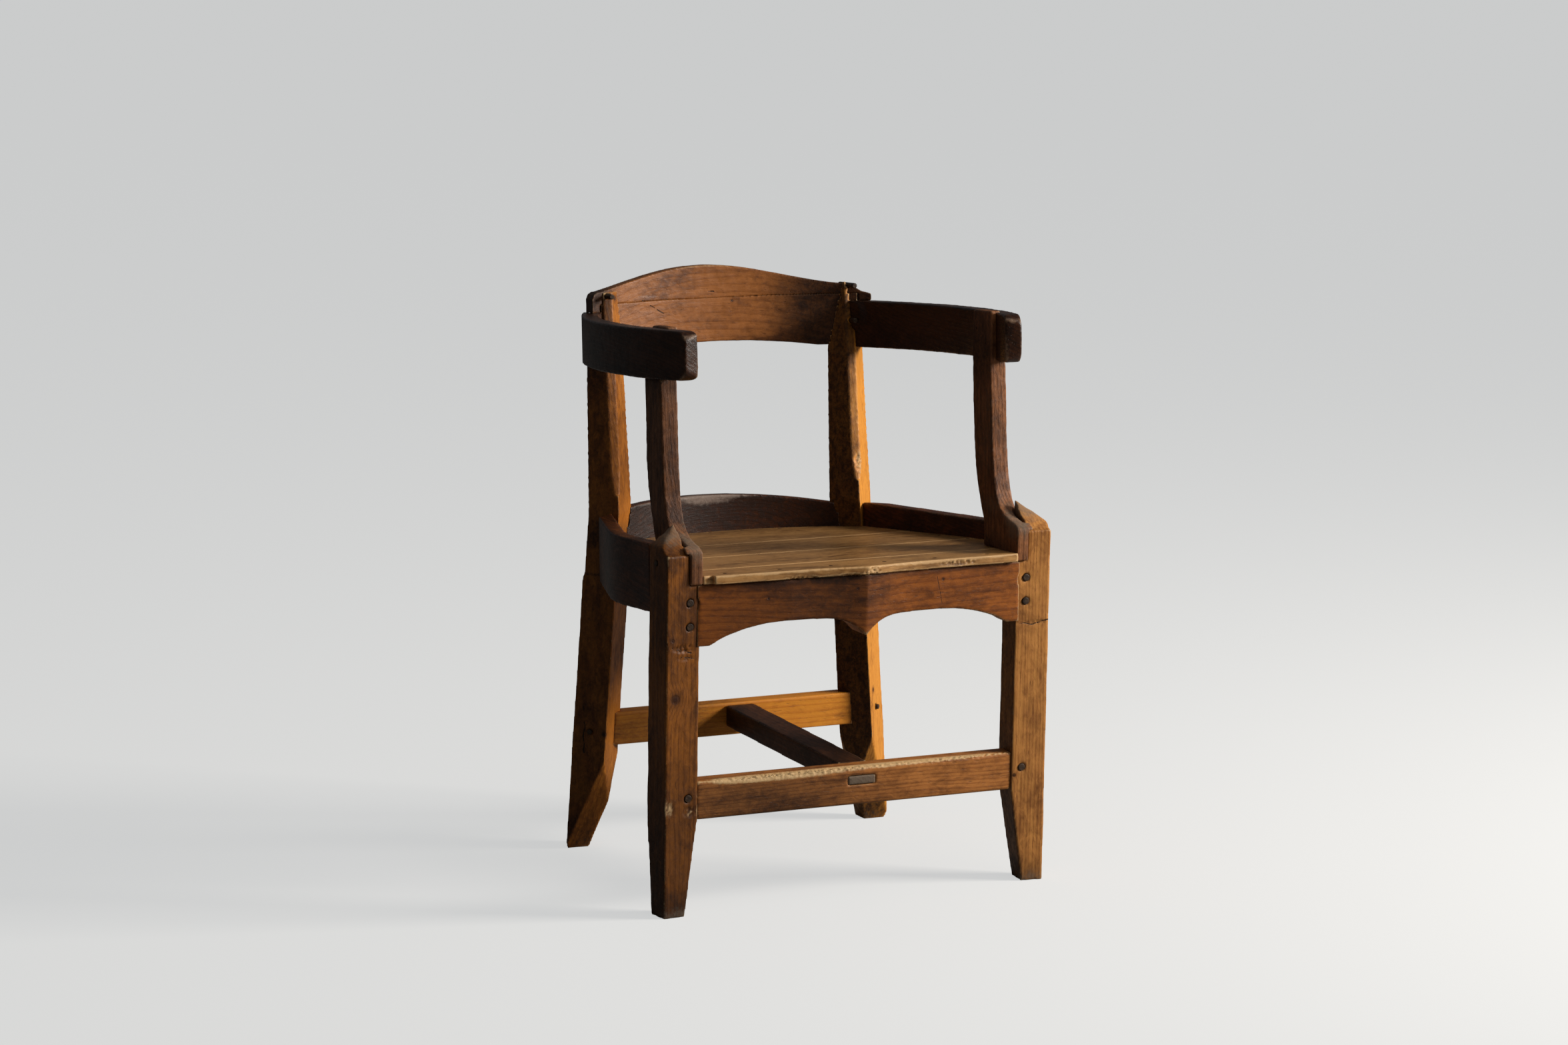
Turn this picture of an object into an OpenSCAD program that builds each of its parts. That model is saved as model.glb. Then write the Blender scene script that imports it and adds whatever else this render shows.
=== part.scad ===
// Pine armchair with a curved seat rim, turned-in front legs, sawn arm posts and a curved, arched crest.
// Millimetres, +Z up, front at -Y, origin on the floor under the middle of the chair.

/* [Stance] */
// Lean of the frame, which brings the back feet down level with the front ones
chair_lean = 1.25; // [0:0.05:2]

/* [Front legs] */
// Distance from the middle to the outer front edge of a front leg
leg_out_x = 271; // [250:1:300]
// Width and depth of the square front legs
leg_size = 47.3; // [42:0.1:52]
// Turn of each front leg about the vertical, so that its front looks inwards
leg_turn = 5.8; // [0:0.1:8]
// Thickness of the cheek that stands up beside the arm post
cheek_thick = 31.6; // [28:0.1:34]
// Height of the shoulder that carries the arm post, level with the top of the apron
shoulder_z = 430; // [400:1:460]
// Rise of the cheek above the shoulder at its front
cheek_front_rise = 39; // [30:1:48]
// Rise of the cheek above the shoulder at its back
cheek_back_rise = 73; // [60:1:80]
// Rise of the cheek above the shoulder at its outer back corner, over its front
cheek_outer_rise = 8; // [0:1:14]
// Height at which the foot starts to taper
foot_taper_z = 125; // [100:1:140]
// How far the inner face of the foot is cut back at the floor
foot_taper_in = 17; // [8:0.5:20]
// How far the back face of the foot is cut back at the floor
foot_taper_back = 13; // [6:0.5:18]

/* [Back posts] */
// Distance from the middle to the axis of a back post at the floor
post_foot_x = 207.3; // [195:0.5:220]
// Distance from the front of the legs to the axis of a back post at the floor
post_foot_y = 405; // [380:1:430]
// Width of the square back posts at the floor
post_size = 47.8; // [44:0.1:52]
// Height at which the back posts start to lean back
post_bend_z = 450; // [430:1:470]
// How far each post leans inwards between the floor and the bend
post_lean_in = 29.5; // [20:0.5:35]
// How far each post leans back between the floor and the bend
post_lower_rake = 7; // [0:0.5:14]
// Height at which the back posts get slimmer, below the rim of the seat
post_step_z = 365; // [340:1:385]
// Width of the square back posts from there to the bend
post_waist_size = 44.5; // [42:0.1:48]
// Width of the square back posts at the top
post_top_size = 34.5; // [33:0.1:42]
// How far each post leans back between the bend and the top
post_rake = 47; // [35:1:55]
// How far the left post leans inwards between the bend and the top
post_top_in_left = 6; // [0:0.5:10]
// The same for the right post, which leans outwards
post_top_in_right = -6; // [-10:0.5:8]
// Height of the top of the back posts
post_top_z = 741; // [735:1:760]
// Height at which the back feet start to taper
back_taper_z = 118; // [95:1:130]
// How much the front corner of a back foot loses at the floor
back_taper_front = 34; // [4:0.5:38]
// How much the inner corner of a back foot loses at the floor
back_taper_in = 30; // [12:0.5:33]
// Depth of the chamfer on the front corner above the seat
post_chamfer = 6.5; // [2:0.5:9]
// Height at which that chamfer starts
chamfer_z = 505; // [480:1:540]

/* [Arm posts] */
// Distance from the middle to the outer face of an arm post
arm_post_x = 245.5; // [235:0.5:250]
// Thickness of an arm post from side to side
arm_post_thick = 23.5; // [20:0.5:28]
// Depth of an arm post from front to back at the arm rail
arm_post_deep = 52; // [44:1:58]
// Distance from the front of the legs to the front of an arm post at the arm rail
arm_post_y = 89; // [75:1:100]
// Length of the foot that stands on the leg and the seat
arm_foot_deep = 96; // [85:1:105]
// Thickness of the foot beside the cheek
arm_foot_thick = 16.6; // [14:0.1:18]
// Depth of the foot's stub tenon in the shoulder, above the pegs of the apron
arm_foot_tenon_deep = 14; // [10:0.5:16]
// Height of the flat front of the foot
arm_foot_rise = 42; // [34:1:50]
// Thickness of the tongue that stands up inside the arm rail
tongue_thick = 14; // [11:0.5:16]
// How far the tongue stands above the arm rail
tongue_rise = 2; // [0.5:0.5:10]

/* [Arm rails] */
// Height of the underside of the arm rails at the front of the arm posts
arm_z = 680; // [650:1:700]
// Backward tilt of the arm rails and of the back
arm_tilt = 4.7; // [2:0.1:6]
// Height of the arm rails on edge
arm_high = 63; // [58:1:70]
// Thickness of the arm rails
arm_thick = 22; // [18:0.5:26]
// Distance from the middle to the outer face of an arm rail at its front end
arm_front_x = 237; // [222:1:240]
// Distance from the front of the legs to the front end of the arm rails
arm_front_y = 27; // [10:1:40]
// Distance from the middle to the outer face of an arm rail at its back end
arm_back_x = 196; // [190:0.5:200]
// Distance from the front of the legs to the back end of the arm rails
arm_back_y = 462; // [456:1:466]
// How far the outer face of an arm rail bows outwards
arm_bow = 43.6; // [38:0.2:48]
// Radius of the rounded front end, seen from the side
arm_nose_r = 18; // [8:1:24]

/* [Back] */
// Distance from the front of the legs to the inner face of the back at the middle
back_y = 476; // [465:1:490]
// Radius of the inner face of the back
back_r = 420; // [360:5:520]
// Thickness of the back rail and the crest rail
back_thick = 21; // [18:0.5:26]
// Rise of the underside of the back rail over the arm rails' underside, at the posts
back_bottom_end = 4; // [0:0.5:12]
// The same rise at the middle
back_bottom_mid = 14; // [6:0.5:20]
// Height of the back rail's top edge over the arm rails' underside
back_seam = 73.5; // [70:0.5:78]
// Height of the crest over the seam at its peak
crest_high = 44.5; // [36:0.5:60]
// How far the crest's top falls from its peak to its shoulders
crest_fall = 33; // [20:1:40]
// Distance of the peak to the left of the middle
crest_peak_x = 15; // [0:1:25]
// Distance from the middle to the right end of the crest, which lies on the arm rail
crest_right = 211; // [206:1:216]
// Distance from the middle to the worn left end of the crest
crest_left = 197; // [194:1:210]

/* [Apron] */
// Height of the apron at its ends
apron_high = 80; // [70:1:90]
// Thickness of the apron at its ends
apron_thick = 26; // [22:0.5:30]
// How far the middle ridge of the apron stands out in front of its ends
apron_ridge = 16; // [8:0.5:20]
// Rise of the two arches above the ends of the apron
arch_rise = 26; // [18:1:34]
// Distance from the middle to the crown of each arch
arch_x = 104; // [92:1:112]
// Length of the flat at each end of the apron's lower edge
apron_flat = 14; // [8:1:20]

/* [Seat] */
// Backward tilt of the seat and its rim
seat_tilt = 4.4; // [2:0.1:6]
// Thickness of the seat boards
seat_thick = 11; // [9:0.5:14]
// Overhang of the seat boards in front of the legs
seat_overhang = 6; // [3:0.5:9]
// Overhang of the rounded nose at the middle of the seat
seat_nose = 22; // [19:0.5:26]
// Width of the front seat board behind the front of the legs
front_board = 57.5; // [50:1:75]
// Width of each of the two middle seat boards
middle_board = 118; // [105:1:125]
// Size of the broken-off left front corner
broken_corner = 17; // [8:1:22]
// Height of the cleats under the seat boards
cleat_high = 20; // [14:1:26]
// Thickness of the cleats
cleat_thick = 18; // [12:1:24]

/* [Seat rim] */
// Thickness of the rim
rim_thick = 20; // [17:0.5:24]
// Height of the rim above the underside of the seat boards
rim_up = 51; // [40:1:58]
// Depth of the rim below the underside of the seat boards
rim_down = 37; // [30:1:45]
// Distance from the middle to the outer face of the rim at the front leg
rim_x = 273.5; // [270:0.5:275]
// Splay of the straight front part of the rim
rim_splay = 2; // [0:0.5:4]
// How far the top of the right side of the rim falls towards the leg
rim_right_fall = 14; // [0:0.5:20]
// How far the crown of the back piece of the rim stands above its side pieces
rim_crown = 10; // [2:0.5:14]
// Distance of that crown to the left of the middle
rim_crown_x = 45; // [0:1:60]
// Radius of that crown
rim_crown_r = 1150; // [900:10:1600]
// Length of the straight front part, behind the leg
rim_front_length = 72; // [60:1:90]
// Radius of the bend in the rim, on its outer face
rim_bend_r = 250; // [200:5:300]
// Angle of the bend
rim_bend = 20; // [17:0.5:22]
// Distance from the front of the legs to the outer face of the rim at the middle of the back
rim_back_y = 459; // [450:1:468]
// Half width over which the back piece of the rim is curved
rim_back_half = 150; // [146:1:156]
// Depth of that curve
rim_back_bow = 32; // [24:1:38]

/* [Stretchers] */
// Height of the top of the front stretcher
front_stretcher_top = 174; // [160:1:190]
// Height of the front stretcher on edge
front_stretcher_high = 50; // [40:1:56]
// Thickness of the front stretcher
front_stretcher_thick = 29; // [24:0.5:32]
// Set-back of the front stretcher behind the front of the legs
front_stretcher_back = 7; // [2:0.5:10]
// Height of the top of the rear stretcher
rear_stretcher_top = 177; // [165:1:190]
// Height of the rear stretcher on edge
rear_stretcher_high = 44.5; // [36:0.5:50]
// Thickness of the rear stretcher
rear_stretcher_thick = 26; // [20:0.5:30]
// Distance from the front of the legs to the front of the rear stretcher
rear_stretcher_y = 393; // [385:1:400]
// Width of the middle stretcher
middle_wide = 41; // [34:1:46]
// Height of the middle stretcher
middle_high = 29; // [24:1:34]
// Distance of the middle stretcher to the right of the middle
middle_offset = 8; // [0:1:12]
// Height of the through tenon of the middle stretcher
through_tenon_high = 11.5; // [8:0.5:16]

/* [Pegs and nails] */
// Diameter of the pegs in the front legs
peg_d = 9.6; // [7:0.2:11]
// Diameter of the pegs in the posts and rails
small_peg_d = 7; // [5:0.2:8]
// How far a peg's end stands out of the wood
peg_proud = 0.8; // [0.2:0.1:1.6]
// Diameter of a seat nail's head
nail_head_d = 5; // [4:0.2:7]
// Diameter of a seat nail's shank
nail_d = 2.6; // [2:0.1:3.4]
// Length of a seat nail
nail_length = 24; // [18:1:28]

/* [Fits] */
// Thickness of the tenons
tenon_thick = 11; // [8:0.5:13]
// Length of the tenons in the front legs
tenon_length = 33; // [24:1:36]
// Depth of the housings in the back posts
housing_deep = 13; // [9:1:15]
// Clearance round a tenon, a peg or a tongue
fit = 0.2; // [0.1:0.05:0.4]
// Clearance between boards that lie on or beside another piece
seat_gap = 0.3; // [0.1:0.05:0.5]

/* [Hidden] */

// Fine enough for the long arcs of the curved boards
$fn = 96;

// Sides: the left half is modelled and the right one is its mirror image
left = -1;
right = 1;
far = 600;

// Front leg corners and heights
leg_in_x = leg_out_x - leg_size * cos(leg_turn);
leg_back_y = leg_size * (cos(leg_turn) + sin(leg_turn));
under_floor = 14;
cheek_front_z = shoulder_z + cheek_front_rise;
cheek_back_z = shoulder_z + cheek_back_rise;
cheek_outer_z = cheek_front_z + cheek_outer_rise;
cheek_flat = 4;

// Back post axis at the bend and at the top
post_bend_x = post_foot_x - post_lean_in;
post_bend_y = post_foot_y + post_lower_rake;
function post_top_x(side) = post_bend_x - (side == right ? post_top_in_right : post_top_in_left);
post_top_y = post_bend_y + post_rake;
post_half = post_size / sqrt(2);
post_clearance = 2;

// Arm post faces
arm_post_in_x = arm_post_x - arm_post_thick;
arm_foot_x = arm_post_in_x + arm_foot_thick;
tongue_x = arm_post_in_x + tongue_thick;

// Apron
apron_bottom_z = shoulder_z - apron_high;
apron_end_y = 3;
// How far tenons keep from the edges of their piece, and how far they go back into it
tenon_shoulder = 8;
tenon_root = 8;

// Front edges of the seat boards, in the plane of the seat
board_2_y = front_board;
board_3_y = board_2_y + middle_board;
board_4_y = board_3_y + middle_board;

// Rim radii and the end of its straight back part
rim_start_y = leg_back_y - 2;
rim_back_length = 215;
rim_back_r = arc_radius(2 * rim_back_half, rim_back_bow);
rim_high = rim_up + rim_down;

// Tenons of the rim: thickness, distance inside the outer face, distance from the top and bottom, length
rim_tenon_thick = rim_thick / 2;
rim_tenon_in = 6;
rim_tenon_lift = 12;
rim_tenon_long = 26;
rim_side_tenon_high = rim_high - rim_right_fall - 2 * rim_tenon_lift;

// Middle line of the chair from front to back, which goes to the origin
crest_top = back_seam + crest_high;
back_reach = back_y + back_thick - arm_post_y;
front_edge = [-seat_nose * cos(seat_tilt), shoulder_z + seat_nose * sin(seat_tilt)];
rear_edge = [
    arm_post_y + back_reach * cos(arm_tilt) + crest_top * sin(arm_tilt),
    arm_z - back_reach * sin(arm_tilt) + crest_top * cos(arm_tilt)
];
middle_y = (leaned_y(front_edge) + leaned_y(rear_edge)) / 2;
function leaned_y(p) = p[0] * cos(chair_lean) - p[1] * sin(chair_lean);

// Radius of an arc from the length of its chord and its bow
function arc_radius(chord, bow) = (chord * chord / 4 + bow * bow) / (2 * bow);

// Centre of the left arm rail's outer arc
arm_p = [-arm_front_x, arm_front_y];
arm_q = [-arm_back_x, arm_back_y];
arm_chord = norm(arm_q - arm_p);
arm_r = arc_radius(arm_chord, arm_bow);
arm_normal = [-(arm_q - arm_p)[1], (arm_q - arm_p)[0]] / arm_chord;
arm_centre = (arm_p + arm_q) / 2 + arm_normal * (arm_bow - arm_r);
arm_sweep = 2 * asin(arm_chord / 2 / arm_r);
arm_start = atan2((arm_q - arm_centre)[1], (arm_q - arm_centre)[0]);

// Points on the left side of the rim, a distance inside its outer face, in the plane of the seat
function rim_place(p) = [
    -rim_x + p[0] * cos(rim_splay) - p[1] * sin(rim_splay),
    rim_start_y + p[0] * sin(rim_splay) + p[1] * cos(rim_splay)
];
function rim_bend_point(inside, turn) = [
    rim_bend_r - (rim_bend_r - inside) * cos(turn),
    rim_front_length + (rim_bend_r - inside) * sin(turn)
];
function rim_side_points(inside) = concat(
    [rim_place([inside, 0])],
    [for (turn = [0 : 2 : rim_bend]) rim_place(rim_bend_point(inside, turn))],
    [rim_place(rim_bend_point(inside, rim_bend) + rim_back_length * [sin(rim_bend), cos(rim_bend)])]
);
function rim_back_points(inside) = [
    for (turn = [-22 : 2 : 22])
        [0, rim_back_y - rim_back_r] + (rim_back_r - inside) * [sin(turn), cos(turn)]
];
function mirrored(points) = [for (i = [len(points) - 1 : -1 : 0]) [-points[i][0], points[i][1]]];

// Frames: the whole chair, one side of it, a front leg, the tilted seat and the tilted arms
module chair() {
    translate([0, -middle_y, 0]) rotate([chair_lean, 0, 0]) children();
}
module above_floor() {
    difference() {
        children();
        translate([-far, -far, -far]) cube([2 * far, 2 * far, far]);
    }
}
module on_side(side) {
    chair() mirror([side == right ? 1 : 0, 0, 0]) children();
}
module leg_frame() {
    translate([-leg_out_x, 0, 0]) rotate([0, 0, leg_turn]) children();
}
module seat_frame() {
    translate([0, 0, shoulder_z]) rotate([-seat_tilt, 0, 0]) children();
}
module arm_frame() {
    translate([0, arm_post_y, arm_z]) rotate([-arm_tilt, 0, 0]) translate([0, -arm_post_y, 0]) children();
}

// A side-view outline in Y and Z, made wide along X
module side_view(wide) {
    rotate([90, 0, 90]) linear_extrude(wide) children();
}
// A front-view outline in X and Z, made deep along Y, starting at y
module front_view(y, deep) {
    translate([0, y + deep, 0]) rotate([90, 0, 0]) linear_extrude(deep) children();
}

// Left front leg

module leg_body() {
    leg_frame() difference() {
        translate([0, 0, -under_floor]) cube([leg_size, leg_size, cheek_back_z + under_floor]);
        translate([cheek_thick, -1, shoulder_z]) cube([leg_size, leg_size + 2, far]);
        translate([-1, 0, 0]) side_view(leg_size + 2)
            polygon([[-1, cheek_front_z], [cheek_flat, cheek_front_z], [leg_size, cheek_back_z],
                [leg_size + 1, far], [-1, far]]);
        front_view(-1, leg_size + 2)
            polygon([[-1, cheek_outer_z], [0, cheek_outer_z], [cheek_thick, cheek_back_z],
                [leg_size, far], [-1, far]]);
        foot_cut_in();
        foot_cut_back();
    }
}
// Wedge off a leg's foot, with its point at the start of the taper, going on below the floor
module foot_wedge(cut, from_z) {
    low = -under_floor - 1;
    reach = cut * (from_z - low) / from_z;
    polygon([[leg_size + 1, from_z], [leg_size, from_z], [leg_size - reach, low], [leg_size + 1, low]]);
}
module foot_cut_in() {
    front_view(-1, leg_size + 2) foot_wedge(foot_taper_in, foot_taper_z);
}
module foot_cut_back() {
    translate([-1, 0, 0]) side_view(leg_size + 2) foot_wedge(foot_taper_back, foot_taper_z);
}
module front_leg(side) {
    color("peru") above_floor() on_side(side) difference() {
        leg_body();
        apron_tenon(fit);
        front_stretcher_tenon(fit);
        seat_frame() rim_front_tenon(fit);
        arm_foot_tenon(fit);
        leg_pegs(fit);
        arm_foot_peg(fit);
    }
}

// Left back post

function post_lower(z) = [post_foot_x, post_foot_y] + [-post_lean_in, post_lower_rake] * z / post_bend_z;
module post_section(x, y, z, size) {
    translate([-x, y, z]) rotate([0, 0, 45]) cube([size, size, 0.01], center = true);
}
module post_body(side) {
    foot_end = post_lower(-under_floor);
    step = post_lower(post_step_z);
    difference() {
        union() {
            hull() {
                post_section(foot_end[0], foot_end[1], -under_floor, post_size);
                post_section(step[0], step[1], post_step_z, post_size);
            }
            post_waist();
            hull() {
                post_section(post_bend_x, post_bend_y, post_bend_z, post_waist_size);
                post_section(post_top_x(side), post_top_y, post_top_z, post_top_size);
            }
        }
        post_foot_cuts();
        post_chamfer_cut();
    }
}
// The slimmer part, which carries the rim
module post_waist() {
    step = post_lower(post_step_z);
    hull() {
        post_section(step[0], step[1], post_step_z, post_waist_size);
        post_section(post_bend_x, post_bend_y, post_bend_z, post_waist_size);
    }
}
// Front and inner corners of the back foot
module post_foot_cuts() {
    top = post_lower(back_taper_z);
    front_top = top[1] - post_half;
    front_floor = post_foot_y - post_half + back_taper_front;
    inner_top = -top[0] + post_half;
    inner_floor = -post_foot_x + post_half - back_taper_in;
    low = -under_floor - 1;
    share = (back_taper_z - low) / back_taper_z;
    translate([-post_foot_x - far / 2, 0, 0]) side_view(far)
        polygon([[front_top - 15, back_taper_z], [front_top, back_taper_z],
            [front_top + (front_floor - front_top) * share, low], [front_top - 15, low]]);
    front_view(post_foot_y - far / 2, far)
        polygon([[inner_top + 15, back_taper_z], [inner_top, back_taper_z],
            [inner_top + (inner_floor - inner_top) * share, low], [inner_top + 15, low]]);
}
// Chamfer along the front corner, from above the seat to the top
chamfer_run_out = 30;
module post_chamfer_cut() {
    share = (chamfer_z - post_bend_z) / (post_top_z - post_bend_z);
    start_half = (post_waist_size + (post_top_size - post_waist_size) * share) / sqrt(2);
    start_y = post_bend_y + post_rake * share - start_half;
    top_y = post_top_y - post_top_size / sqrt(2);
    translate([-post_bend_x - far / 2, 0, 0]) side_view(far)
        polygon([[start_y - 20, chamfer_z - chamfer_run_out], [start_y - 2, chamfer_z - chamfer_run_out],
            [start_y + post_chamfer, chamfer_z], [top_y + post_chamfer, post_top_z + 1],
            [start_y - 20, post_top_z + 1]]);
}
module back_post(side) {
    color("chocolate") above_floor() on_side(side) difference() {
        post_body(side);
        rear_stretcher_tenon(fit);
        seat_frame() rim_side_tenon(fit);
        seat_frame() rim_back_tenon(fit);
        arm_frame() arm_tenon(side, fit);
        arm_frame() back_notch();
        rim_peg(fit);
        rear_stretcher_peg(fit);
        arm_frame() arm_peg(fit);
        arm_frame() back_peg(side, fit);
    }
}
// Room behind the inner face of the back, from its underside to the top of the post
module back_notch() {
    translate([0, back_y - back_r, back_bottom_end - seat_gap]) difference() {
        rotate([0, 0, 90]) rotate_extrude(angle = 45, $fn = 192)
            translate([back_r - seat_gap, 0]) square([80, far]);
    }
}

// Left arm post

arm_post_front = [
    [0, shoulder_z], [0, shoulder_z + arm_foot_rise], [8, shoulder_z + arm_foot_rise + 5],
    [24, shoulder_z + arm_foot_rise + 8], [40, shoulder_z + arm_foot_rise + 12],
    [52, shoulder_z + arm_foot_rise + 19], [61, shoulder_z + arm_foot_rise + 29],
    [67, shoulder_z + arm_foot_rise + 42], [73, shoulder_z + arm_foot_rise + 62],
    [78, shoulder_z + arm_foot_rise + 95], [arm_post_y - 6, arm_z - 60], [arm_post_y - 1, arm_z - 14]
];
arm_post_back = [
    [arm_post_y + arm_post_deep, arm_z + 10], [arm_post_y + arm_post_deep - 6, arm_z - 60],
    [arm_post_y + arm_post_deep - 10, arm_z - 110], [arm_post_y + arm_post_deep - 16, arm_z - 145],
    [arm_post_y + arm_post_deep - 25, arm_z - 172], [arm_foot_deep + 10, shoulder_z + arm_foot_rise + 10],
    [arm_foot_deep + 2, shoulder_z + arm_foot_rise - 5], [arm_foot_deep, shoulder_z + arm_foot_rise - 14],
    [arm_foot_deep, shoulder_z]
];
module arm_post_body() {
    top_z = arm_z + far / 4;
    translate([-arm_post_x, 0, 0]) side_view(arm_post_thick)
        polygon(concat(
            arm_post_front, [[arm_post_y, arm_z], [arm_post_y, top_z]],
            [[arm_post_y + arm_post_deep, top_z]], arm_post_back
        ));
}
module arm_post_shape() {
    difference() {
        arm_post_body();
        cheek_room();
        seat_frame() translate([-far, leg_back_y, -far / 2])
            cube([far, far, far / 2 + seat_thick + seat_gap]);
        arm_frame() translate([-far - tongue_x, 0, 0]) cube([far, far, far]);
        arm_frame() translate([-far, 0, arm_high + tongue_rise]) cube([far, far, far]);
    }
    arm_foot_tenon(0);
}
// The cheek of the leg and the open slot beside it
module cheek_room() {
    translate([-far - arm_foot_x, 0, 0]) side_view(far)
        polygon([[-1, shoulder_z - 1], [leg_back_y + seat_gap, shoulder_z - 1],
            [leg_back_y + seat_gap, cheek_back_z + cheek_flat], [cheek_flat, cheek_front_z + seat_gap],
            [-1, cheek_front_z + seat_gap]]);
}
module arm_foot_tenon(grow) {
    low = shoulder_z - arm_foot_tenon_deep;
    translate([-arm_foot_x + arm_foot_thick / 5 - grow, leg_size / 4 - grow, low - grow])
        cube([arm_foot_thick / 2 + 2 * grow, leg_size / 2 + 2 * grow, arm_foot_tenon_deep + 1 + grow]);
}
module arm_post(side) {
    color("saddlebrown") on_side(side) difference() {
        arm_post_shape();
        arm_foot_peg(fit);
        arm_frame() tongue_nail(fit);
    }
}

// Left arm rail

// Middle of its joint with the outer front face of the post
arm_joint_share = (arm_z - post_bend_z) / (post_top_z - post_bend_z);
arm_joint_half = (post_waist_size + (post_top_size - post_waist_size) * arm_joint_share) / (2 * sqrt(2));
function arm_joint(side) = [
    post_bend_x + (post_top_x(side) - post_bend_x) * arm_joint_share + arm_joint_half * 1.45,
    post_bend_y + post_rake * arm_joint_share - arm_joint_half * 0.55
];
arm_tenon_thick = 8;
module arm_rail_body() {
    intersection() {
        translate([arm_centre[0], arm_centre[1], 0]) rotate([0, 0, arm_start])
            rotate_extrude(angle = arm_sweep, $fn = 192)
                translate([arm_r - arm_thick, 0]) square([arm_thick, arm_high]);
        translate([-far, 0, 0]) side_view(far) arm_outline();
    }
}
// Side view of an arm rail with its rounded front end
module arm_outline() {
    hull() {
        translate([arm_front_y + arm_nose_r, arm_nose_r]) circle(arm_nose_r, $fn = 48);
        translate([arm_front_y + arm_nose_r, arm_high - arm_nose_r]) circle(arm_nose_r, $fn = 48);
        translate([arm_back_y, 0]) square([1, arm_high]);
    }
}
// Tenon of an arm rail in the outer corner of a back post
module arm_tenon(side, grow) {
    long = arm_thick / 3 + arm_tenon_thick;
    translate([-arm_joint(side)[0], arm_joint(side)[1], arm_high / 4 - grow]) rotate([0, 0, 45])
        translate([-arm_thick / 3, -arm_tenon_thick / 2 - grow, 0])
            cube([long + grow, arm_tenon_thick + 2 * grow, arm_high / 2 + 2 * grow]);
}
module arm_rail(side) {
    color("sienna") on_side(side) difference() {
        union() {
            difference() {
                arm_frame() arm_rail_body();
                post_body(side);
                // The right rail ends inside the post, which leans outwards
                if (side == right) arm_frame() translate([-far, arm_back_y - 10, -1]) cube([far, far, far]);
            }
            arm_frame() arm_tenon(side, 0);
        }
        arm_post_tongue();
        arm_frame() arm_peg(fit);
        arm_frame() tongue_nail(fit);
    }
}
module arm_post_tongue() {
    arm_frame() translate([-tongue_x - fit, arm_post_y - fit, -1])
        cube([tongue_thick + 5, arm_post_deep + 2 * fit, arm_high + 2]);
}

// Back rail and crest rail

module back_band(bottom, top) {
    translate([0, back_y - back_r, bottom]) rotate([0, 0, 90 - 35]) rotate_extrude(angle = 70, $fn = 192)
        translate([back_r, 0]) square([back_thick, top - bottom]);
}
function back_rail_end(side) = post_top_x(side) + 10;
module back_rail_outline() {
    bottom_r = arc_radius(2 * (post_bend_x - post_half), back_bottom_mid - back_bottom_end);
    difference() {
        translate([-back_rail_end(left), back_bottom_end])
            square([back_rail_end(left) + back_rail_end(right), back_seam - back_bottom_end]);
        translate([0, back_bottom_mid - bottom_r]) circle(bottom_r, $fn = 360);
    }
}
module back_rail() {
    color("sienna") chair() difference() {
        arm_frame() intersection() {
            back_band(-5, back_seam);
            front_view(0, far) back_rail_outline();
        }
        for (side = [left, right]) mirror([side == right ? 1 : 0, 0, 0]) {
            arm_frame() back_peg(side, fit);
            arm_frame() crest_dowel(fit);
            arm_frame() arm_rail_body();
        }
    }
}
// Front view of the crest: a bell-shaped top between the posts, an ogee horn at the right end
// and a worn block at the left one, both lying on the arm rails
crest_half_wave = 230;
crest_horn = 26;
crest_steps = 30;
function crest_edge(x) =
    crest_top - crest_fall * (1 - cos(180 * abs(x + crest_peak_x) / crest_half_wave)) / 2;
module crest_outline() {
    low = arm_high + seat_gap;
    step_left = back_rail_end(left) + 2;
    step_right = back_rail_end(right) + 2;
    horn_x = crest_right - crest_horn;
    horn_top = crest_edge(horn_x);
    left_top = crest_edge(-step_left);
    polygon(concat(
        [[-step_left, back_seam], [-step_left, low], [-crest_left, low]],
        [[-crest_left, left_top - 9], [-crest_left + 3, left_top - 3], [-crest_left + 9, left_top]],
        [for (i = [0 : crest_steps])
            let (x = -step_left + (horn_x + step_left) * i / crest_steps) [x, crest_edge(x)]],
        [[horn_x, horn_top - 1], [horn_x + 7, horn_top - 5], [horn_x + 14, horn_top - 10]],
        [[horn_x + 21, horn_top - 12], [crest_right, horn_top - 14], [crest_right, low]],
        [[step_right, low], [step_right, back_seam]]
    ));
}
module crest_rail() {
    color("peru") chair() difference() {
        arm_frame() intersection() {
            back_band(arm_high - 5, crest_top + 5);
            front_view(0, far) crest_outline();
        }
        for (side = [left, right]) mirror([side == right ? 1 : 0, 0, 0]) {
            arm_frame() back_peg(side, fit);
            arm_frame() crest_dowel(fit);
        }
    }
}

// Front apron

module apron_plan() {
    back = apron_end_y + apron_thick;
    front = [for (x = [0 : 10 : 100]) [x, -5 - (apron_ridge - 5) * pow(1 - x / 100, 1.8)]];
    polygon(concat(
        [[-leg_in_x - 4, back], [-leg_in_x - 4, apron_end_y]],
        mirrored(front), front,
        [[leg_in_x + 4, apron_end_y], [leg_in_x + 4, back]]
    ));
}
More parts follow.
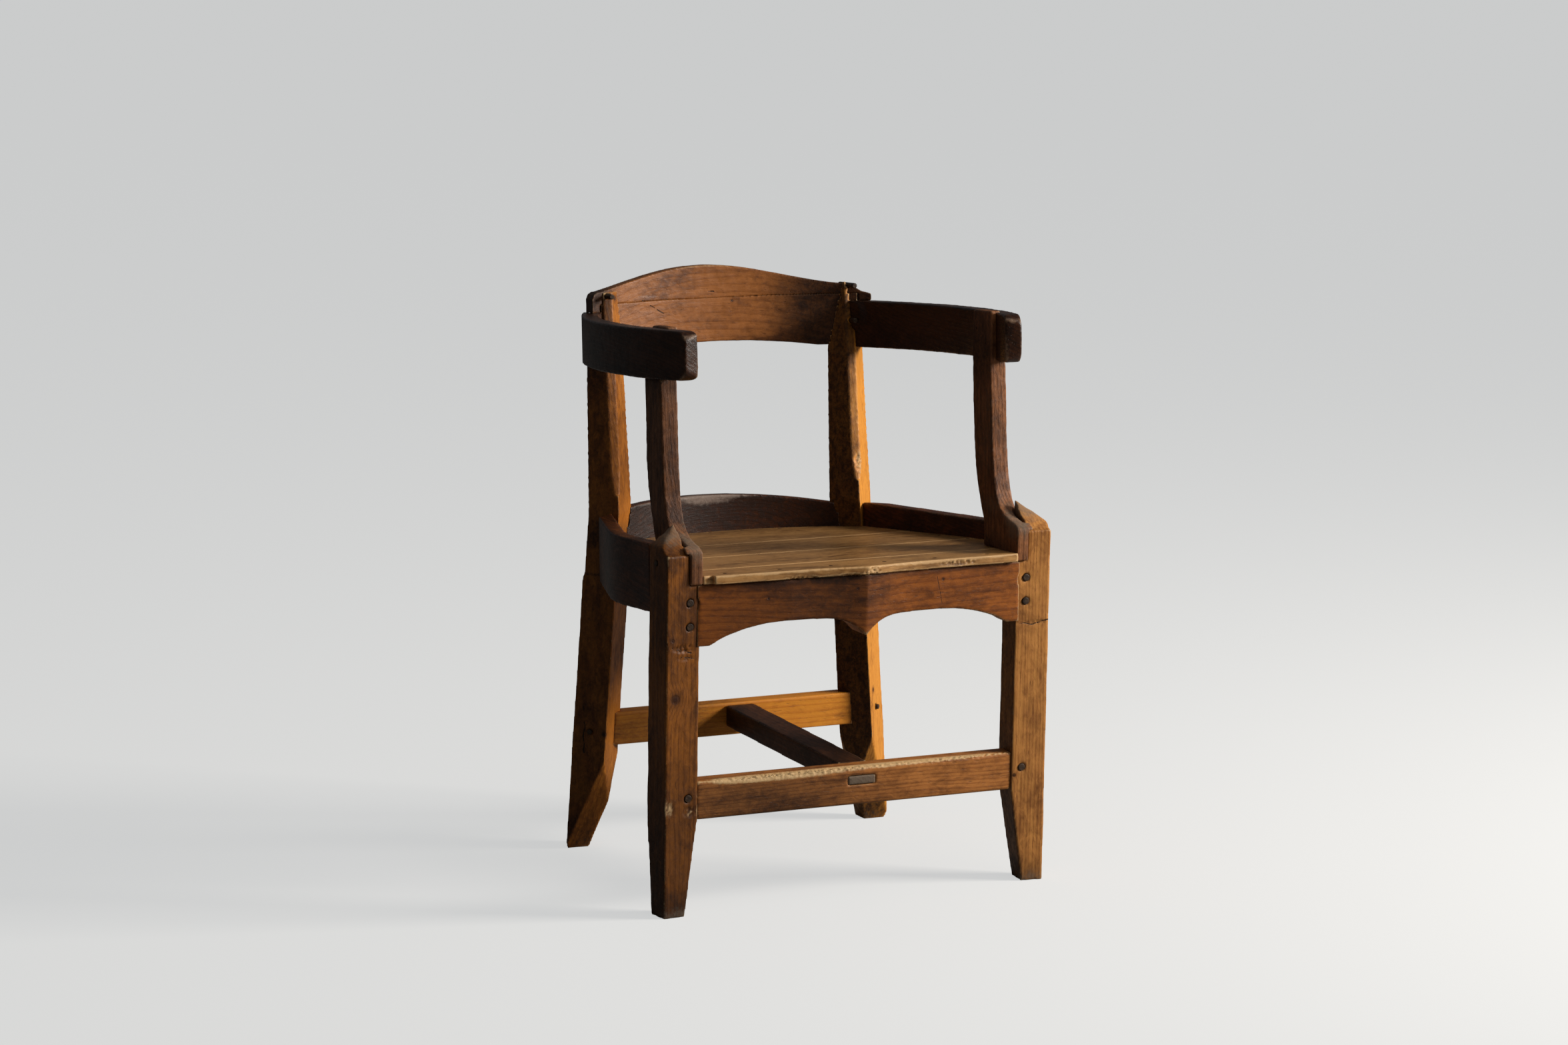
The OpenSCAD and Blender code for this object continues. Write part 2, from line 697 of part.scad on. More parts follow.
// Front view: two arches between the end flats and the middle pendant
module apron_outline() {
    end_x = leg_in_x - apron_flat;
    crown = apron_bottom_z + arch_rise;
    outer = [for (t = [0 : 0.1 : 1])
        [end_x + (arch_x - end_x) * t, apron_bottom_z + arch_rise * sin(90 * pow(t, 0.8))]];
    inner = [for (t = [0.1 : 0.1 : 1])
        [arch_x * (1 - t), crown - (arch_rise - 1) * (1 - cos(90 * t * t * t))]];
    half = concat([[leg_in_x + 5, apron_bottom_z]], outer, inner);
    polygon(concat(half, mirrored(half), [[-leg_in_x - 5, shoulder_z + 5], [leg_in_x + 5, shoulder_z + 5]]));
}
module apron_tenon(grow) {
    high = apron_high - 2.5 * tenon_shoulder;
    low = apron_bottom_z + tenon_shoulder;
    translate([-leg_in_x - tenon_length - grow, apron_thick / 2 - grow, low - grow])
        cube([tenon_length + tenon_root + grow, tenon_thick + 2 * grow, high + 2 * grow]);
}
module front_apron() {
    color("peru") chair() difference() {
        union() {
            difference() {
                intersection() {
                    linear_extrude(shoulder_z + 5) apron_plan();
                    front_view(-50, 100) apron_outline();
                }
                leg_body();
                mirror([1, 0, 0]) leg_body();
            }
            apron_tenon(0);
            mirror([1, 0, 0]) apron_tenon(0);
        }
        seat_frame() translate([-far, -far, 0]) cube([2 * far, 2 * far, 50]);
        for (side = [left, right]) mirror([side == right ? 1 : 0, 0, 0]) {
            leg_pegs(fit);
            arm_foot_tenon(fit);
            seat_frame() seat_nail_row(nail_d / 2 + fit);
        }
    }
}

// Seat rim, in the plane of the seat

module rim_part(inside, thick, bottom, high) {
    outer = rim_side_points(inside);
    inner = rim_side_points(inside + thick);
    translate([0, 0, bottom]) linear_extrude(high)
        polygon(concat(outer, [for (i = [len(inner) - 1 : -1 : 0]) inner[i]]));
}
module rim_front_tenon(grow) {
    translate([-rim_x + rim_tenon_in - grow, rim_start_y - rim_tenon_long, rim_tenon_lift - rim_down - grow])
        cube([rim_tenon_thick + 2 * grow, rim_tenon_long + rim_tenon_lift, rim_down + 2 * grow]);
}
// Tenon at the back end of the side piece, along that piece
module rim_side_tenon(grow) {
    translate([-rim_x, rim_start_y, rim_tenon_lift - rim_down - grow]) rotate([0, 0, rim_splay])
        translate([rim_bend_r, rim_front_length, 0]) rotate([0, 0, -rim_bend])
            translate([-rim_bend_r + rim_tenon_in - grow, rim_back_length * 0.7, 0])
                cube([rim_tenon_thick + 2 * grow, 60 + grow, rim_side_tenon_high + 2 * grow]);
}
module rim_back_tenon(grow) {
    turn = asin(rim_back_half / rim_back_r);
    translate([0, rim_back_y - rim_back_r, rim_tenon_lift - rim_down - grow]) rotate([0, 0, 90 + turn - 8])
        rotate_extrude(angle = 10, $fn = 192)
            translate([rim_back_r - rim_tenon_in - rim_tenon_thick - grow, 0])
                square([rim_tenon_thick + 2 * grow, rim_high - 2 * rim_tenon_lift + 2 * grow]);
}
module seat_rim_side(side) {
    color("saddlebrown") on_side(side) difference() {
        union() {
            difference() {
                seat_frame() rim_part(0, rim_thick, -rim_down, rim_high);
                leg_body();
                post_body(side);
                post_behind();
                if (side == right) seat_frame() rim_fall();
            }
            difference() {
                seat_frame() rim_side_tenon(0);
                post_behind();
            }
            seat_frame() rim_front_tenon(0);
        }
        rim_peg(fit);
    }
}
// Room over the right side of the rim, whose top falls towards the leg
module rim_fall() {
    low = rim_up - rim_right_fall;
    high = rim_up - rim_right_fall / 2;
    translate([-far, 0, 0]) side_view(far)
        polygon([[0, low], [rim_start_y + 140, low], [post_foot_y, high], [far, high], [far, far], [0, far]]);
}
// Everything behind a plane through the post, square to the outer front face
module post_behind() {
    translate([-post_bend_x, post_bend_y, shoulder_z]) rotate([0, 0, 45])
        translate([-far / 2, -post_waist_size / 2 + housing_deep, -far / 2]) cube([far, far, far]);
}
// Room over the crown of the back piece
module rim_over_crown() {
    front_view(0, far) difference() {
        translate([-far, 0]) square([2 * far, far]);
        translate([-rim_crown_x, rim_up + rim_crown - rim_crown_r]) circle(rim_crown_r, $fn = 360);
    }
}
module seat_rim_back() {
    turn = asin((post_bend_x - 10) / rim_back_r);
    color("saddlebrown") chair() difference() {
        union() {
            difference() {
                seat_frame() translate([0, rim_back_y - rim_back_r, -rim_down]) rotate([0, 0, 90 - turn])
                    rotate_extrude(angle = 2 * turn, $fn = 192) translate([rim_back_r - rim_thick, 0])
                        square([rim_thick, rim_high + rim_crown]);
                seat_frame() rim_over_crown();
                post_body(left);
                mirror([1, 0, 0]) post_body(right);
            }
            for (side = [left, right]) mirror([side == right ? 1 : 0, 0, 0]) seat_frame() rim_back_tenon(0);
        }
        for (side = [left, right]) mirror([side == right ? 1 : 0, 0, 0]) rim_peg(fit);
    }
}

// Seat boards and cleats, in the plane of the seat

// Its front edge runs nearly straight from the legs, and from 100 mm off the middle into the nose
seat_swell = 3;
nose_reach = seat_nose - seat_overhang - seat_swell;
seat_front = concat(
    [for (x = [arm_post_in_x - seat_gap, 170, 100])
        [x, -seat_overhang - seat_swell * (arm_post_in_x - x) / (arm_post_in_x - 100)]],
    [for (x = [80 : -20 : 20])
        [x, -seat_overhang - seat_swell - nose_reach * pow(1 - x / 100, 1.6)]]
);
module seat_plan() {
    side = rim_side_points(rim_thick + seat_gap);
    polygon(concat(
        side, rim_back_points(rim_thick + seat_gap), mirrored(side),
        [[leg_in_x, leg_back_y + seat_gap], [arm_post_in_x - seat_gap, leg_back_y + seat_gap]],
        seat_front, [[0, -seat_nose]], mirrored(seat_front),
        [[-arm_post_in_x + seat_gap, leg_back_y + seat_gap], [-leg_in_x, leg_back_y + seat_gap]]
    ));
}
module seat_board(from, to) {
    color("burlywood") chair() difference() {
        seat_frame() linear_extrude(seat_thick) intersection() {
            seat_plan();
            translate([-far, from + seat_gap / 2]) square([2 * far, to - from - seat_gap]);
        }
        leg_body();
        mirror([1, 0, 0]) leg_body();
        post_room();
        mirror([1, 0, 0]) post_room();
        seat_frame() for (s = [-1, 1]) scale([s, 1, 1]) seat_nail_holes();
    }
}
// The back post and a little clearance
module post_room() {
    translate([-post_bend_x, post_bend_y, shoulder_z]) rotate([0, 0, 45])
        cube([post_waist_size + post_clearance, post_waist_size + post_clearance, far / 3], center = true);
}
module seat_board_1() {
    difference() {
        seat_board(-seat_nose - 1, board_2_y);
        chair() seat_frame() translate([-arm_post_in_x - 1, -seat_nose, -1]) rotate([0, 0, 8])
            cube([broken_corner, seat_nose - 1, seat_thick + 2]);
    }
}
module seat_cleat_side(side) {
    color("tan") on_side(side) difference() {
        seat_frame() rim_part(rim_thick, cleat_thick, -cleat_high, cleat_high - seat_gap / 10);
        translate([0, 0, 1]) leg_body();
        post_room();
        seat_frame() translate([-far, leg_back_y + 180, -far / 2]) cube([far, far, far]);
        seat_frame() translate([-far, 0, -far / 2]) cube([far, leg_back_y + 8, far]);
        seat_frame() seat_nail_holes();
    }
}
module seat_cleat_back() {
    color("tan") chair() difference() {
        seat_frame() translate([0, rim_back_y - rim_back_r, -cleat_high]) rotate([0, 0, 90 - 17])
            rotate_extrude(angle = 34, $fn = 192) translate([rim_back_r - rim_thick - cleat_thick, 0])
                square([cleat_thick, cleat_high - seat_gap / 10]);
        seat_frame() for (s = [-1, 1]) scale([s, 1, 1]) seat_nail_holes();
    }
}

// Stretchers

front_stretcher_z = front_stretcher_top - front_stretcher_high;
rear_stretcher_z = rear_stretcher_top - rear_stretcher_high;
middle_z = front_stretcher_top - middle_high;
through_z = front_stretcher_top - 12 - through_tenon_high / 2;
module front_stretcher_tenon(grow) {
    low = front_stretcher_z + tenon_shoulder;
    high = front_stretcher_high - 2 * tenon_shoulder;
    translate([-leg_in_x - tenon_length - grow, front_stretcher_back + tenon_shoulder - grow, low - grow])
        cube([tenon_length + tenon_root + grow, tenon_thick + 2 * grow, high + 2 * grow]);
}
module front_stretcher() {
    color("peru") chair() difference() {
        union() {
            difference() {
                translate([-leg_in_x - 8, front_stretcher_back, front_stretcher_z])
                    cube([2 * leg_in_x + 16, front_stretcher_thick, front_stretcher_high]);
                leg_body();
                mirror([1, 0, 0]) leg_body();
            }
            front_stretcher_tenon(0);
            mirror([1, 0, 0]) front_stretcher_tenon(0);
        }
        through_tenon(2 * fit);
        for (side = [left, right]) mirror([side == right ? 1 : 0, 0, 0]) leg_pegs(fit);
    }
}
module rear_stretcher_tenon(grow) {
    translate([-post_foot_x - 2 - grow, rear_stretcher_y + 8 - grow, rear_stretcher_z + 7 - grow])
        cube([60 + grow, 10 + 2 * grow, rear_stretcher_high - 14 + 2 * grow]);
}
module rear_stretcher() {
    color("orange") chair() difference() {
        union() {
            difference() {
                translate([-post_bend_x - 10, rear_stretcher_y, rear_stretcher_z])
                    cube([2 * post_bend_x + 20, rear_stretcher_thick, rear_stretcher_high]);
                post_body(left);
                mirror([1, 0, 0]) post_body(right);
            }
            rear_stretcher_tenon(0);
            mirror([1, 0, 0]) rear_stretcher_tenon(0);
        }
        middle_back_tenon(fit);
        for (side = [left, right]) mirror([side == right ? 1 : 0, 0, 0]) rear_stretcher_peg(fit);
    }
}
module through_tenon(grow) {
    low = through_z - through_tenon_high / 2;
    translate([middle_offset - middle_wide / 2 + 1 - grow, front_stretcher_back - grow, low - grow])
        cube([middle_wide - 2 + 2 * grow, front_stretcher_thick + 1 + grow, through_tenon_high + 2 * grow]);
}
module middle_back_tenon(grow) {
    translate([middle_offset - middle_wide / 2 + 6 - grow, rear_stretcher_y - 5, middle_z + 9 - grow])
        cube([middle_wide - 12 + 2 * grow, 5 + 15 + grow, 11 + 2 * grow]);
}
module middle_stretcher() {
    color("sienna") chair() {
        from = front_stretcher_back + front_stretcher_thick;
        translate([middle_offset - middle_wide / 2, from, middle_z])
            cube([middle_wide, rear_stretcher_y - from, middle_high]);
        through_tenon(0);
        middle_back_tenon(0);
    }
}

// Pegs: each is a cylinder, and the same cylinder with a clearance is its hole

module peg_along_y(x, y, z, d, length) {
    translate([x, y, z]) rotate([-90, 0, 0]) cylinder(d = d, h = length, $fn = 32);
}
leg_peg_x = -leg_in_x - 14;
leg_peg_length = leg_size * 0.72;
leg_peg_y = (leg_out_x + leg_peg_x) * tan(leg_turn) - peg_proud;
module apron_peg_pair(grow) {
    for (z = [shoulder_z - 23, shoulder_z - 54])
        peg_along_y(leg_peg_x, leg_peg_y - grow, z, peg_d + 2 * grow, leg_peg_length + 2 * grow);
}
module front_stretcher_peg(grow) {
    z = front_stretcher_top - 20;
    peg_along_y(leg_peg_x, leg_peg_y - grow, z, peg_d + 2 * grow, leg_peg_length + 2 * grow);
}
module leg_pegs(grow) {
    apron_peg_pair(grow);
    front_stretcher_peg(grow);
}
module rear_stretcher_peg(grow) {
    z = rear_stretcher_z + rear_stretcher_high / 2;
    translate([-post_foot_x + 9, post_foot_y, z]) rotate([-90, 0, -45])
        translate([0, 0, -post_size / 2 - peg_proud - grow])
            cylinder(d = small_peg_d + 2 * grow, h = 32 + 2 * grow, $fn = 32);
}
// Peg through the outer front face of the post into the rim's tenon
module rim_peg(grow) {
    translate([-post_bend_x - 1, post_bend_y, shoulder_z - 30]) rotate([-90, 0, -45])
        translate([0, 0, -post_waist_size / 2 - peg_proud - grow])
            cylinder(d = small_peg_d + 2 * grow, h = 36 + 2 * grow, $fn = 32);
}
// Peg through the outer face of the arm rail into the post
arm_peg_out = 13;
arm_peg_front = 26;
arm_peg_length = 24;
module arm_peg(grow) {
    intersection() {
        translate([-arm_back_x - arm_peg_out, arm_back_y - arm_peg_front, arm_high / 2]) rotate([0, 90, 24])
            translate([0, 0, -peg_proud - grow])
                cylinder(d = small_peg_d + 2 * grow, h = arm_peg_length + 2 * grow, $fn = 32);
        translate([arm_centre[0], arm_centre[1], 0]) rotate([0, 0, arm_start])
            rotate_extrude(angle = arm_sweep, $fn = 192)
                translate([arm_r - 3 * arm_thick, 0]) square([3 * arm_thick + peg_proud + grow, arm_high]);
    }
}
// Pegs from the front of the post into the back rail and the crest
module back_peg(side, grow) {
    for (z = [back_seam * 0.5, back_seam + 11])
        translate([-post_top_x(side) - 1, back_y - 33 - 26 - grow, z]) rotate([-90, 0, 0])
            cylinder(d = small_peg_d + 2 * grow, h = 48 + 2 * grow, $fn = 32);
}
module crest_dowel(grow) {
    turn = 11;
    translate([0, back_y - back_r, back_seam - 22 - grow]) rotate([0, 0, turn])
        translate([0, back_r + back_thick / 2, 0])
            cylinder(d = small_peg_d + 2 * grow, h = 44 + 2 * grow, $fn = 32);
}
// Peg through the cheek and the arm post's foot, from the outside
module arm_foot_peg(grow) {
    leg_frame() translate([-peg_proud - grow, 30, shoulder_z + 26]) rotate([0, 90, 0])
        cylinder(d = small_peg_d + 2 * grow, h = cheek_thick + 13 + 2 * grow, $fn = 32);
}
// Nails through the tongue into the arm rail
module tongue_nail(grow) {
    for (place = [[14, 0.35], [38, 0.65]])
        translate([-arm_post_in_x + 0.6, arm_post_y + place[0], arm_high * place[1]]) rotate([0, -90, 0])
            cylinder(d = nail_d + 2 * grow, h = 26 + grow, $fn = 24);
}

// Seat nails: along the apron, then along the rim's cleats

module seat_nail_at(x, y, radius) {
    translate([x, y, seat_thick - nail_length]) cylinder(r = radius, h = nail_length + 1, $fn = 20);
}
side_cleat_inside = rim_thick + cleat_thick / 2;
side_cleat_points = [
    rim_place([side_cleat_inside, rim_front_length * 0.5]),
    rim_place([side_cleat_inside, rim_front_length * 0.98]),
    rim_place(rim_bend_point(side_cleat_inside, rim_bend * 0.75)),
    rim_place(rim_bend_point(side_cleat_inside, rim_bend) + 35 * [sin(rim_bend), cos(rim_bend)])
];
back_cleat_points = [
    for (turn = [4, 13])
        [0, rim_back_y - rim_back_r] + (rim_back_r - rim_thick - cleat_thick / 2) * [-sin(turn), cos(turn)]
];
apron_nail_points = [for (share = [0.83, 0.49, 0.17]) [-leg_in_x * share, apron_end_y + apron_thick * 0.42]];
module seat_nail_row(radius) {
    for (p = apron_nail_points) seat_nail_at(p[0], p[1], radius);
}
module seat_nail_holes() {
    seat_nail_row(nail_d / 2 + fit);
    for (p = concat(side_cleat_points, back_cleat_points)) seat_nail_at(p[0], p[1], nail_d / 2 + fit);
    for (p = concat(apron_nail_points, side_cleat_points, back_cleat_points))
        translate([p[0], p[1], seat_thick - 1.2]) cylinder(d = nail_head_d + 2 * fit, h = 3, $fn = 20);
}
module seat_nails() {
    color("dimgray") chair() seat_frame() for (s = [-1, 1]) scale([s, 1, 1])
        for (p = concat(apron_nail_points, side_cleat_points, back_cleat_points)) {
            translate([p[0], p[1], seat_thick - nail_length + 1])
                cylinder(d = nail_d, h = nail_length - 1.4, $fn = 20);
            translate([p[0], p[1], seat_thick - 1.1]) cylinder(d = nail_head_d, h = 1, $fn = 20);
        }
}
module each_back_peg() {
    for (side = [left, right]) on_side(side) arm_frame() back_peg(side, 0);
}
module both_sides() {
    for (side = [left, right]) on_side(side) children();
}

front_leg(left);  // front_leg_left
front_leg(right);  // front_leg_right
back_post(left);  // back_post_left
back_post(right);  // back_post_right
arm_post(left);  // arm_post_left
arm_post(right);  // arm_post_right
arm_rail(left);  // arm_rail_left
arm_rail(right);  // arm_rail_right
back_rail();
crest_rail();
front_apron();
seat_rim_side(left);  // seat_rim_left
seat_rim_side(right);  // seat_rim_right
seat_rim_back();
seat_board_1();
seat_board(board_2_y, board_3_y);  // seat_board_2
seat_board(board_3_y, board_4_y);  // seat_board_3
seat_board(board_4_y, far);  // seat_board_4
seat_cleat_side(left);  // seat_cleat_left
seat_cleat_side(right);  // seat_cleat_right
seat_cleat_back();
front_stretcher();
rear_stretcher();
middle_stretcher();
color("dimgray") both_sides() apron_peg_pair(0);  // apron_pegs
color("dimgray") both_sides() front_stretcher_peg(0);  // front_stretcher_pegs
color("dimgray") both_sides() rear_stretcher_peg(0);  // rear_stretcher_pegs
color("dimgray") both_sides() rim_peg(0);  // rim_pegs
color("dimgray") both_sides() arm_frame() arm_peg(0);  // arm_rail_pegs
color("dimgray") each_back_peg();  // back_pegs
color("dimgray") both_sides() arm_frame() crest_dowel(0);  // crest_dowels
color("dimgray") both_sides() arm_foot_peg(0);  // arm_foot_pegs
color("dimgray") both_sides() arm_frame() tongue_nail(0);  // tongue_nails
seat_nails();
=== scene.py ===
from math import cos, pi, radians, sin

import bpy
import numpy as np
from mathutils import Matrix, Vector, noise


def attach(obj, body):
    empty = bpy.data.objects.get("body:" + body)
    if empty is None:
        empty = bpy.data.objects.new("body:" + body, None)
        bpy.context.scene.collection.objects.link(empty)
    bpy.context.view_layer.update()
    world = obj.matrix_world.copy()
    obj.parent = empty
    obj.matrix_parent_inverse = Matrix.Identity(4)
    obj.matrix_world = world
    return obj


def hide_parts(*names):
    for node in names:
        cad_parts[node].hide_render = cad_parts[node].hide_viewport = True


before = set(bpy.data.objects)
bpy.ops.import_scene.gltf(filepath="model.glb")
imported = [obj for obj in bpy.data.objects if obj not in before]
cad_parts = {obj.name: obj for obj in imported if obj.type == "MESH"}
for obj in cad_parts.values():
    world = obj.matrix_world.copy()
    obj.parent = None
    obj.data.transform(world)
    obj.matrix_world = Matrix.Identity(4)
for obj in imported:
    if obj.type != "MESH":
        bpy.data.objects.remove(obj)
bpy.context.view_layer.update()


# The studio: a pale floor that runs on to the horizon, a soft lamp on the right at head height, a weak
# wide one overhead, and the camera six metres off, left of the chair's front and about 1.5 m up.
def new_material(name):
    material = bpy.data.materials.new(name)
    material.use_nodes = True
    material.node_tree.nodes.clear()
    return material


def rgb(red, green, blue):
    """A colour as it is seen, from 0 to 255, as the numbers that a shader takes."""
    return tuple((c / 255) ** 2.2 for c in (red, green, blue)) + (1,)


floor_wide = 60
bpy.ops.object.select_all(action="DESELECT")
bpy.ops.mesh.primitive_plane_add(size=floor_wide)
floor = bpy.context.object
floor.name = "studio_floor"
floor.data.materials.append(new_material("floor_paint"))
floor_tree = floor.data.materials[0].node_tree
floor_paint = floor_tree.nodes.new("ShaderNodeBsdfDiffuse")
floor_paint.inputs["Color"].default_value = rgb(142, 141, 139)
floor_glow = floor_tree.nodes.new("ShaderNodeEmission")
floor_glow.inputs["Color"].default_value = rgb(198, 199, 199)
floor_seen = floor_tree.nodes.new("ShaderNodeLightPath")
floor_both = floor_tree.nodes.new("ShaderNodeAddShader")
floor_choice = floor_tree.nodes.new("ShaderNodeMixShader")
floor_out = floor_tree.nodes.new("ShaderNodeOutputMaterial")
for source, target in (
        (floor_paint.outputs[0], floor_both.inputs[0]), (floor_glow.outputs[0], floor_both.inputs[1]),
        (floor_seen.outputs["Is Camera Ray"], floor_choice.inputs[0]),
        (floor_paint.outputs[0], floor_choice.inputs[1]),
        (floor_both.outputs[0], floor_choice.inputs[2]), (floor_choice.outputs[0], floor_out.inputs[0])):
    floor_tree.links.new(source, target)

air_strength = 0.1
world = bpy.data.worlds.new("studio_air")
bpy.context.scene.world = world
world.use_nodes = True
air = world.node_tree
air.nodes["Background"].inputs[0].default_value = rgb(232, 236, 240)
air.nodes["Background"].inputs[1].default_value = air_strength
seen_air = air.nodes.new("ShaderNodeBackground")
seen_air.inputs[0].default_value = rgb(214, 215, 216)
light_path = air.nodes.new("ShaderNodeLightPath")
seen = air.nodes.new("ShaderNodeMath")
seen.operation = "MAXIMUM"
air.links.new(light_path.outputs["Is Camera Ray"], seen.inputs[0])
air.links.new(light_path.outputs["Is Transmission Ray"], seen.inputs[1])
air_choice = air.nodes.new("ShaderNodeMixShader")
air.links.new(seen.outputs[0], air_choice.inputs[0])
air.links.new(air.nodes["Background"].outputs[0], air_choice.inputs[1])
air.links.new(seen_air.outputs[0], air_choice.inputs[2])
air.links.new(air_choice.outputs[0], air.nodes["World Output"].inputs[0])


def add_lamp(name, place, aim, size, watts, colour):
    bpy.ops.object.light_add(type="AREA", location=place)
    lamp = bpy.context.object
    lamp.name = name
    lamp.rotation_euler = (Vector(place) - Vector(aim)).to_track_quat("Z", "Y").to_euler()
    lamp.data.size = size
    lamp.data.energy = watts
    lamp.data.color = colour


add_lamp("key_lamp", (3.04, -1.69, 1.82), (0, 0, 0.4), 1.08, 168, (1, 0.955, 0.89))
add_lamp("top_lamp", (0.7, -1.6, 3.4), (0, 0, 0.2), 2.4, 16, (1, 0.985, 0.96))

# The camera as it was fitted to the photo: its focal length is in pixels of a picture 2352 wide.
photo_width, focal_length, film_width = 2352, 7010, 36
azimuth, elevation, roll = radians(-24.8), radians(10.6), radians(0.87)
camera_away = 6.13
lean_angle = 1.25
middle = Vector((0, 0.22858, 0))
chair_lean = Matrix.Rotation(radians(lean_angle), 3, "X")
camera_aim = chair_lean @ Vector((-0.019, 0.2, 0.4616)) - middle
camera_back = chair_lean @ Vector((
    sin(azimuth) * cos(elevation), -cos(azimuth) * cos(elevation), sin(elevation)))
camera_level = chair_lean @ Vector((cos(azimuth), sin(azimuth), 0))
camera_up = camera_back.cross(camera_level)
camera_right = camera_level * cos(roll) + camera_up * sin(roll)
camera_up = camera_back.cross(camera_right)
bpy.ops.object.camera_add()
camera = bpy.context.object
camera.matrix_world = Matrix.Translation(camera_aim + camera_back * camera_away) @ Matrix(
    (camera_right, camera_up, camera_back)).transposed().to_4x4()
camera.data.sensor_width = film_width
camera.data.lens = film_width * focal_length / photo_width
bpy.context.scene.camera = camera
bpy.context.scene.view_settings.view_transform = "Standard"


# Front legs: square pine, turned a little inwards, with a cheek beside the arm post's foot. They are
# sawn and planed, and use has rounded their arrises and scuffed their feet.
class Field:
    """A number in a material. Sums and products of fields add Math nodes."""

    def __init__(self, finish, socket):
        self.finish = finish
        self.socket = socket

    def __add__(self, other):
        return self.finish.math("ADD", self, other)

    def __radd__(self, other):
        return self.finish.math("ADD", other, self)

    def __sub__(self, other):
        return self.finish.math("SUBTRACT", self, other)

    def __rsub__(self, other):
        return self.finish.math("SUBTRACT", other, self)

    def __mul__(self, other):
        return self.finish.math("MULTIPLY", self, other)

    def __rmul__(self, other):
        return self.finish.math("MULTIPLY", other, self)

    def __truediv__(self, other):
        return self.finish.math("DIVIDE", self, other)

    def rise(self, low, high):
        """0 below low and 1 above high, with a smooth step between."""
        return self.finish.node("MapRange", {"interpolation_type": "SMOOTHSTEP"},
                                {"Value": self, "From Min": low, "From Max": high})


class Finish:
    """A material, built from nodes."""

    def __init__(self, name):
        self.material = new_material(name)
        self.tree = self.material.node_tree
        self.place = self.node("TexCoord", {}, {}, "Object")

    def node(self, kind, settings, inputs, out=0):
        made = self.tree.nodes.new("ShaderNode" + kind)
        for key, value in settings.items():
            setattr(made, key, value)
        for key, value in inputs.items():
            if isinstance(value, Field):
                self.tree.links.new(value.socket, made.inputs[key])
            else:
                made.inputs[key].default_value = value
        return Field(self, made.outputs[out]) if made.outputs else made

    def math(self, operation, *values):
        return self.node("Math", {"operation": operation}, dict(enumerate(values)))

    def vector(self, operation, *values, out=0):
        return self.node("VectorMath", {"operation": operation}, dict(enumerate(values)), out)

    def scaled(self, vector, amount):
        return self.node("VectorMath", {"operation": "SCALE"}, {0: vector, "Scale": amount})

    def noise(self, place, scale, detail=3, rough=0.55, warp=0, out=0):
        sockets = {"Vector": place, "Scale": scale, "Detail": detail, "Roughness": rough, "Distortion": warp}
        return self.node("TexNoise", {}, sockets, out)

    def mix(self, amount, first, second):
        return self.node("Mix", {"data_type": "RGBA"}, {0: amount, 6: first, 7: second}, 2)

    def painted(self, name):
        """What is painted on the piece's points under this name."""
        return self.node("Attribute", {"attribute_name": name}, {}, "Fac")

    def from_line(self, start, end, place):
        """Distance from the straight line between two points."""
        start, along = Vector(start), Vector(end) - Vector(start)
        from_start = self.vector("SUBTRACT", place, tuple(start))
        share = self.vector("DOT_PRODUCT", from_start, tuple(along / along.length_squared), out=1)
        share = self.node("Clamp", {}, {0: share})
        beside = self.vector("SUBTRACT", from_start, self.scaled(tuple(along), share))
        return self.vector("LENGTH", beside, out=1)

    def done(self, **inputs):
        sockets = {key.replace("_", " "): value for key, value in inputs.items()}
        skin = self.node("BsdfPrincipled", {}, sockets)
        self.node("OutputMaterial", {}, {0: skin})
        return self.material


# The third of these colours is the brown of soiling and of painted shade.
BARE_PINE, OLD_GREY, SHADE_AND_GRIME_BROWN, SOOT = rgb(206, 172, 126), rgb(126, 112, 96), rgb(38, 22, 13), rgb(16, 11, 8)


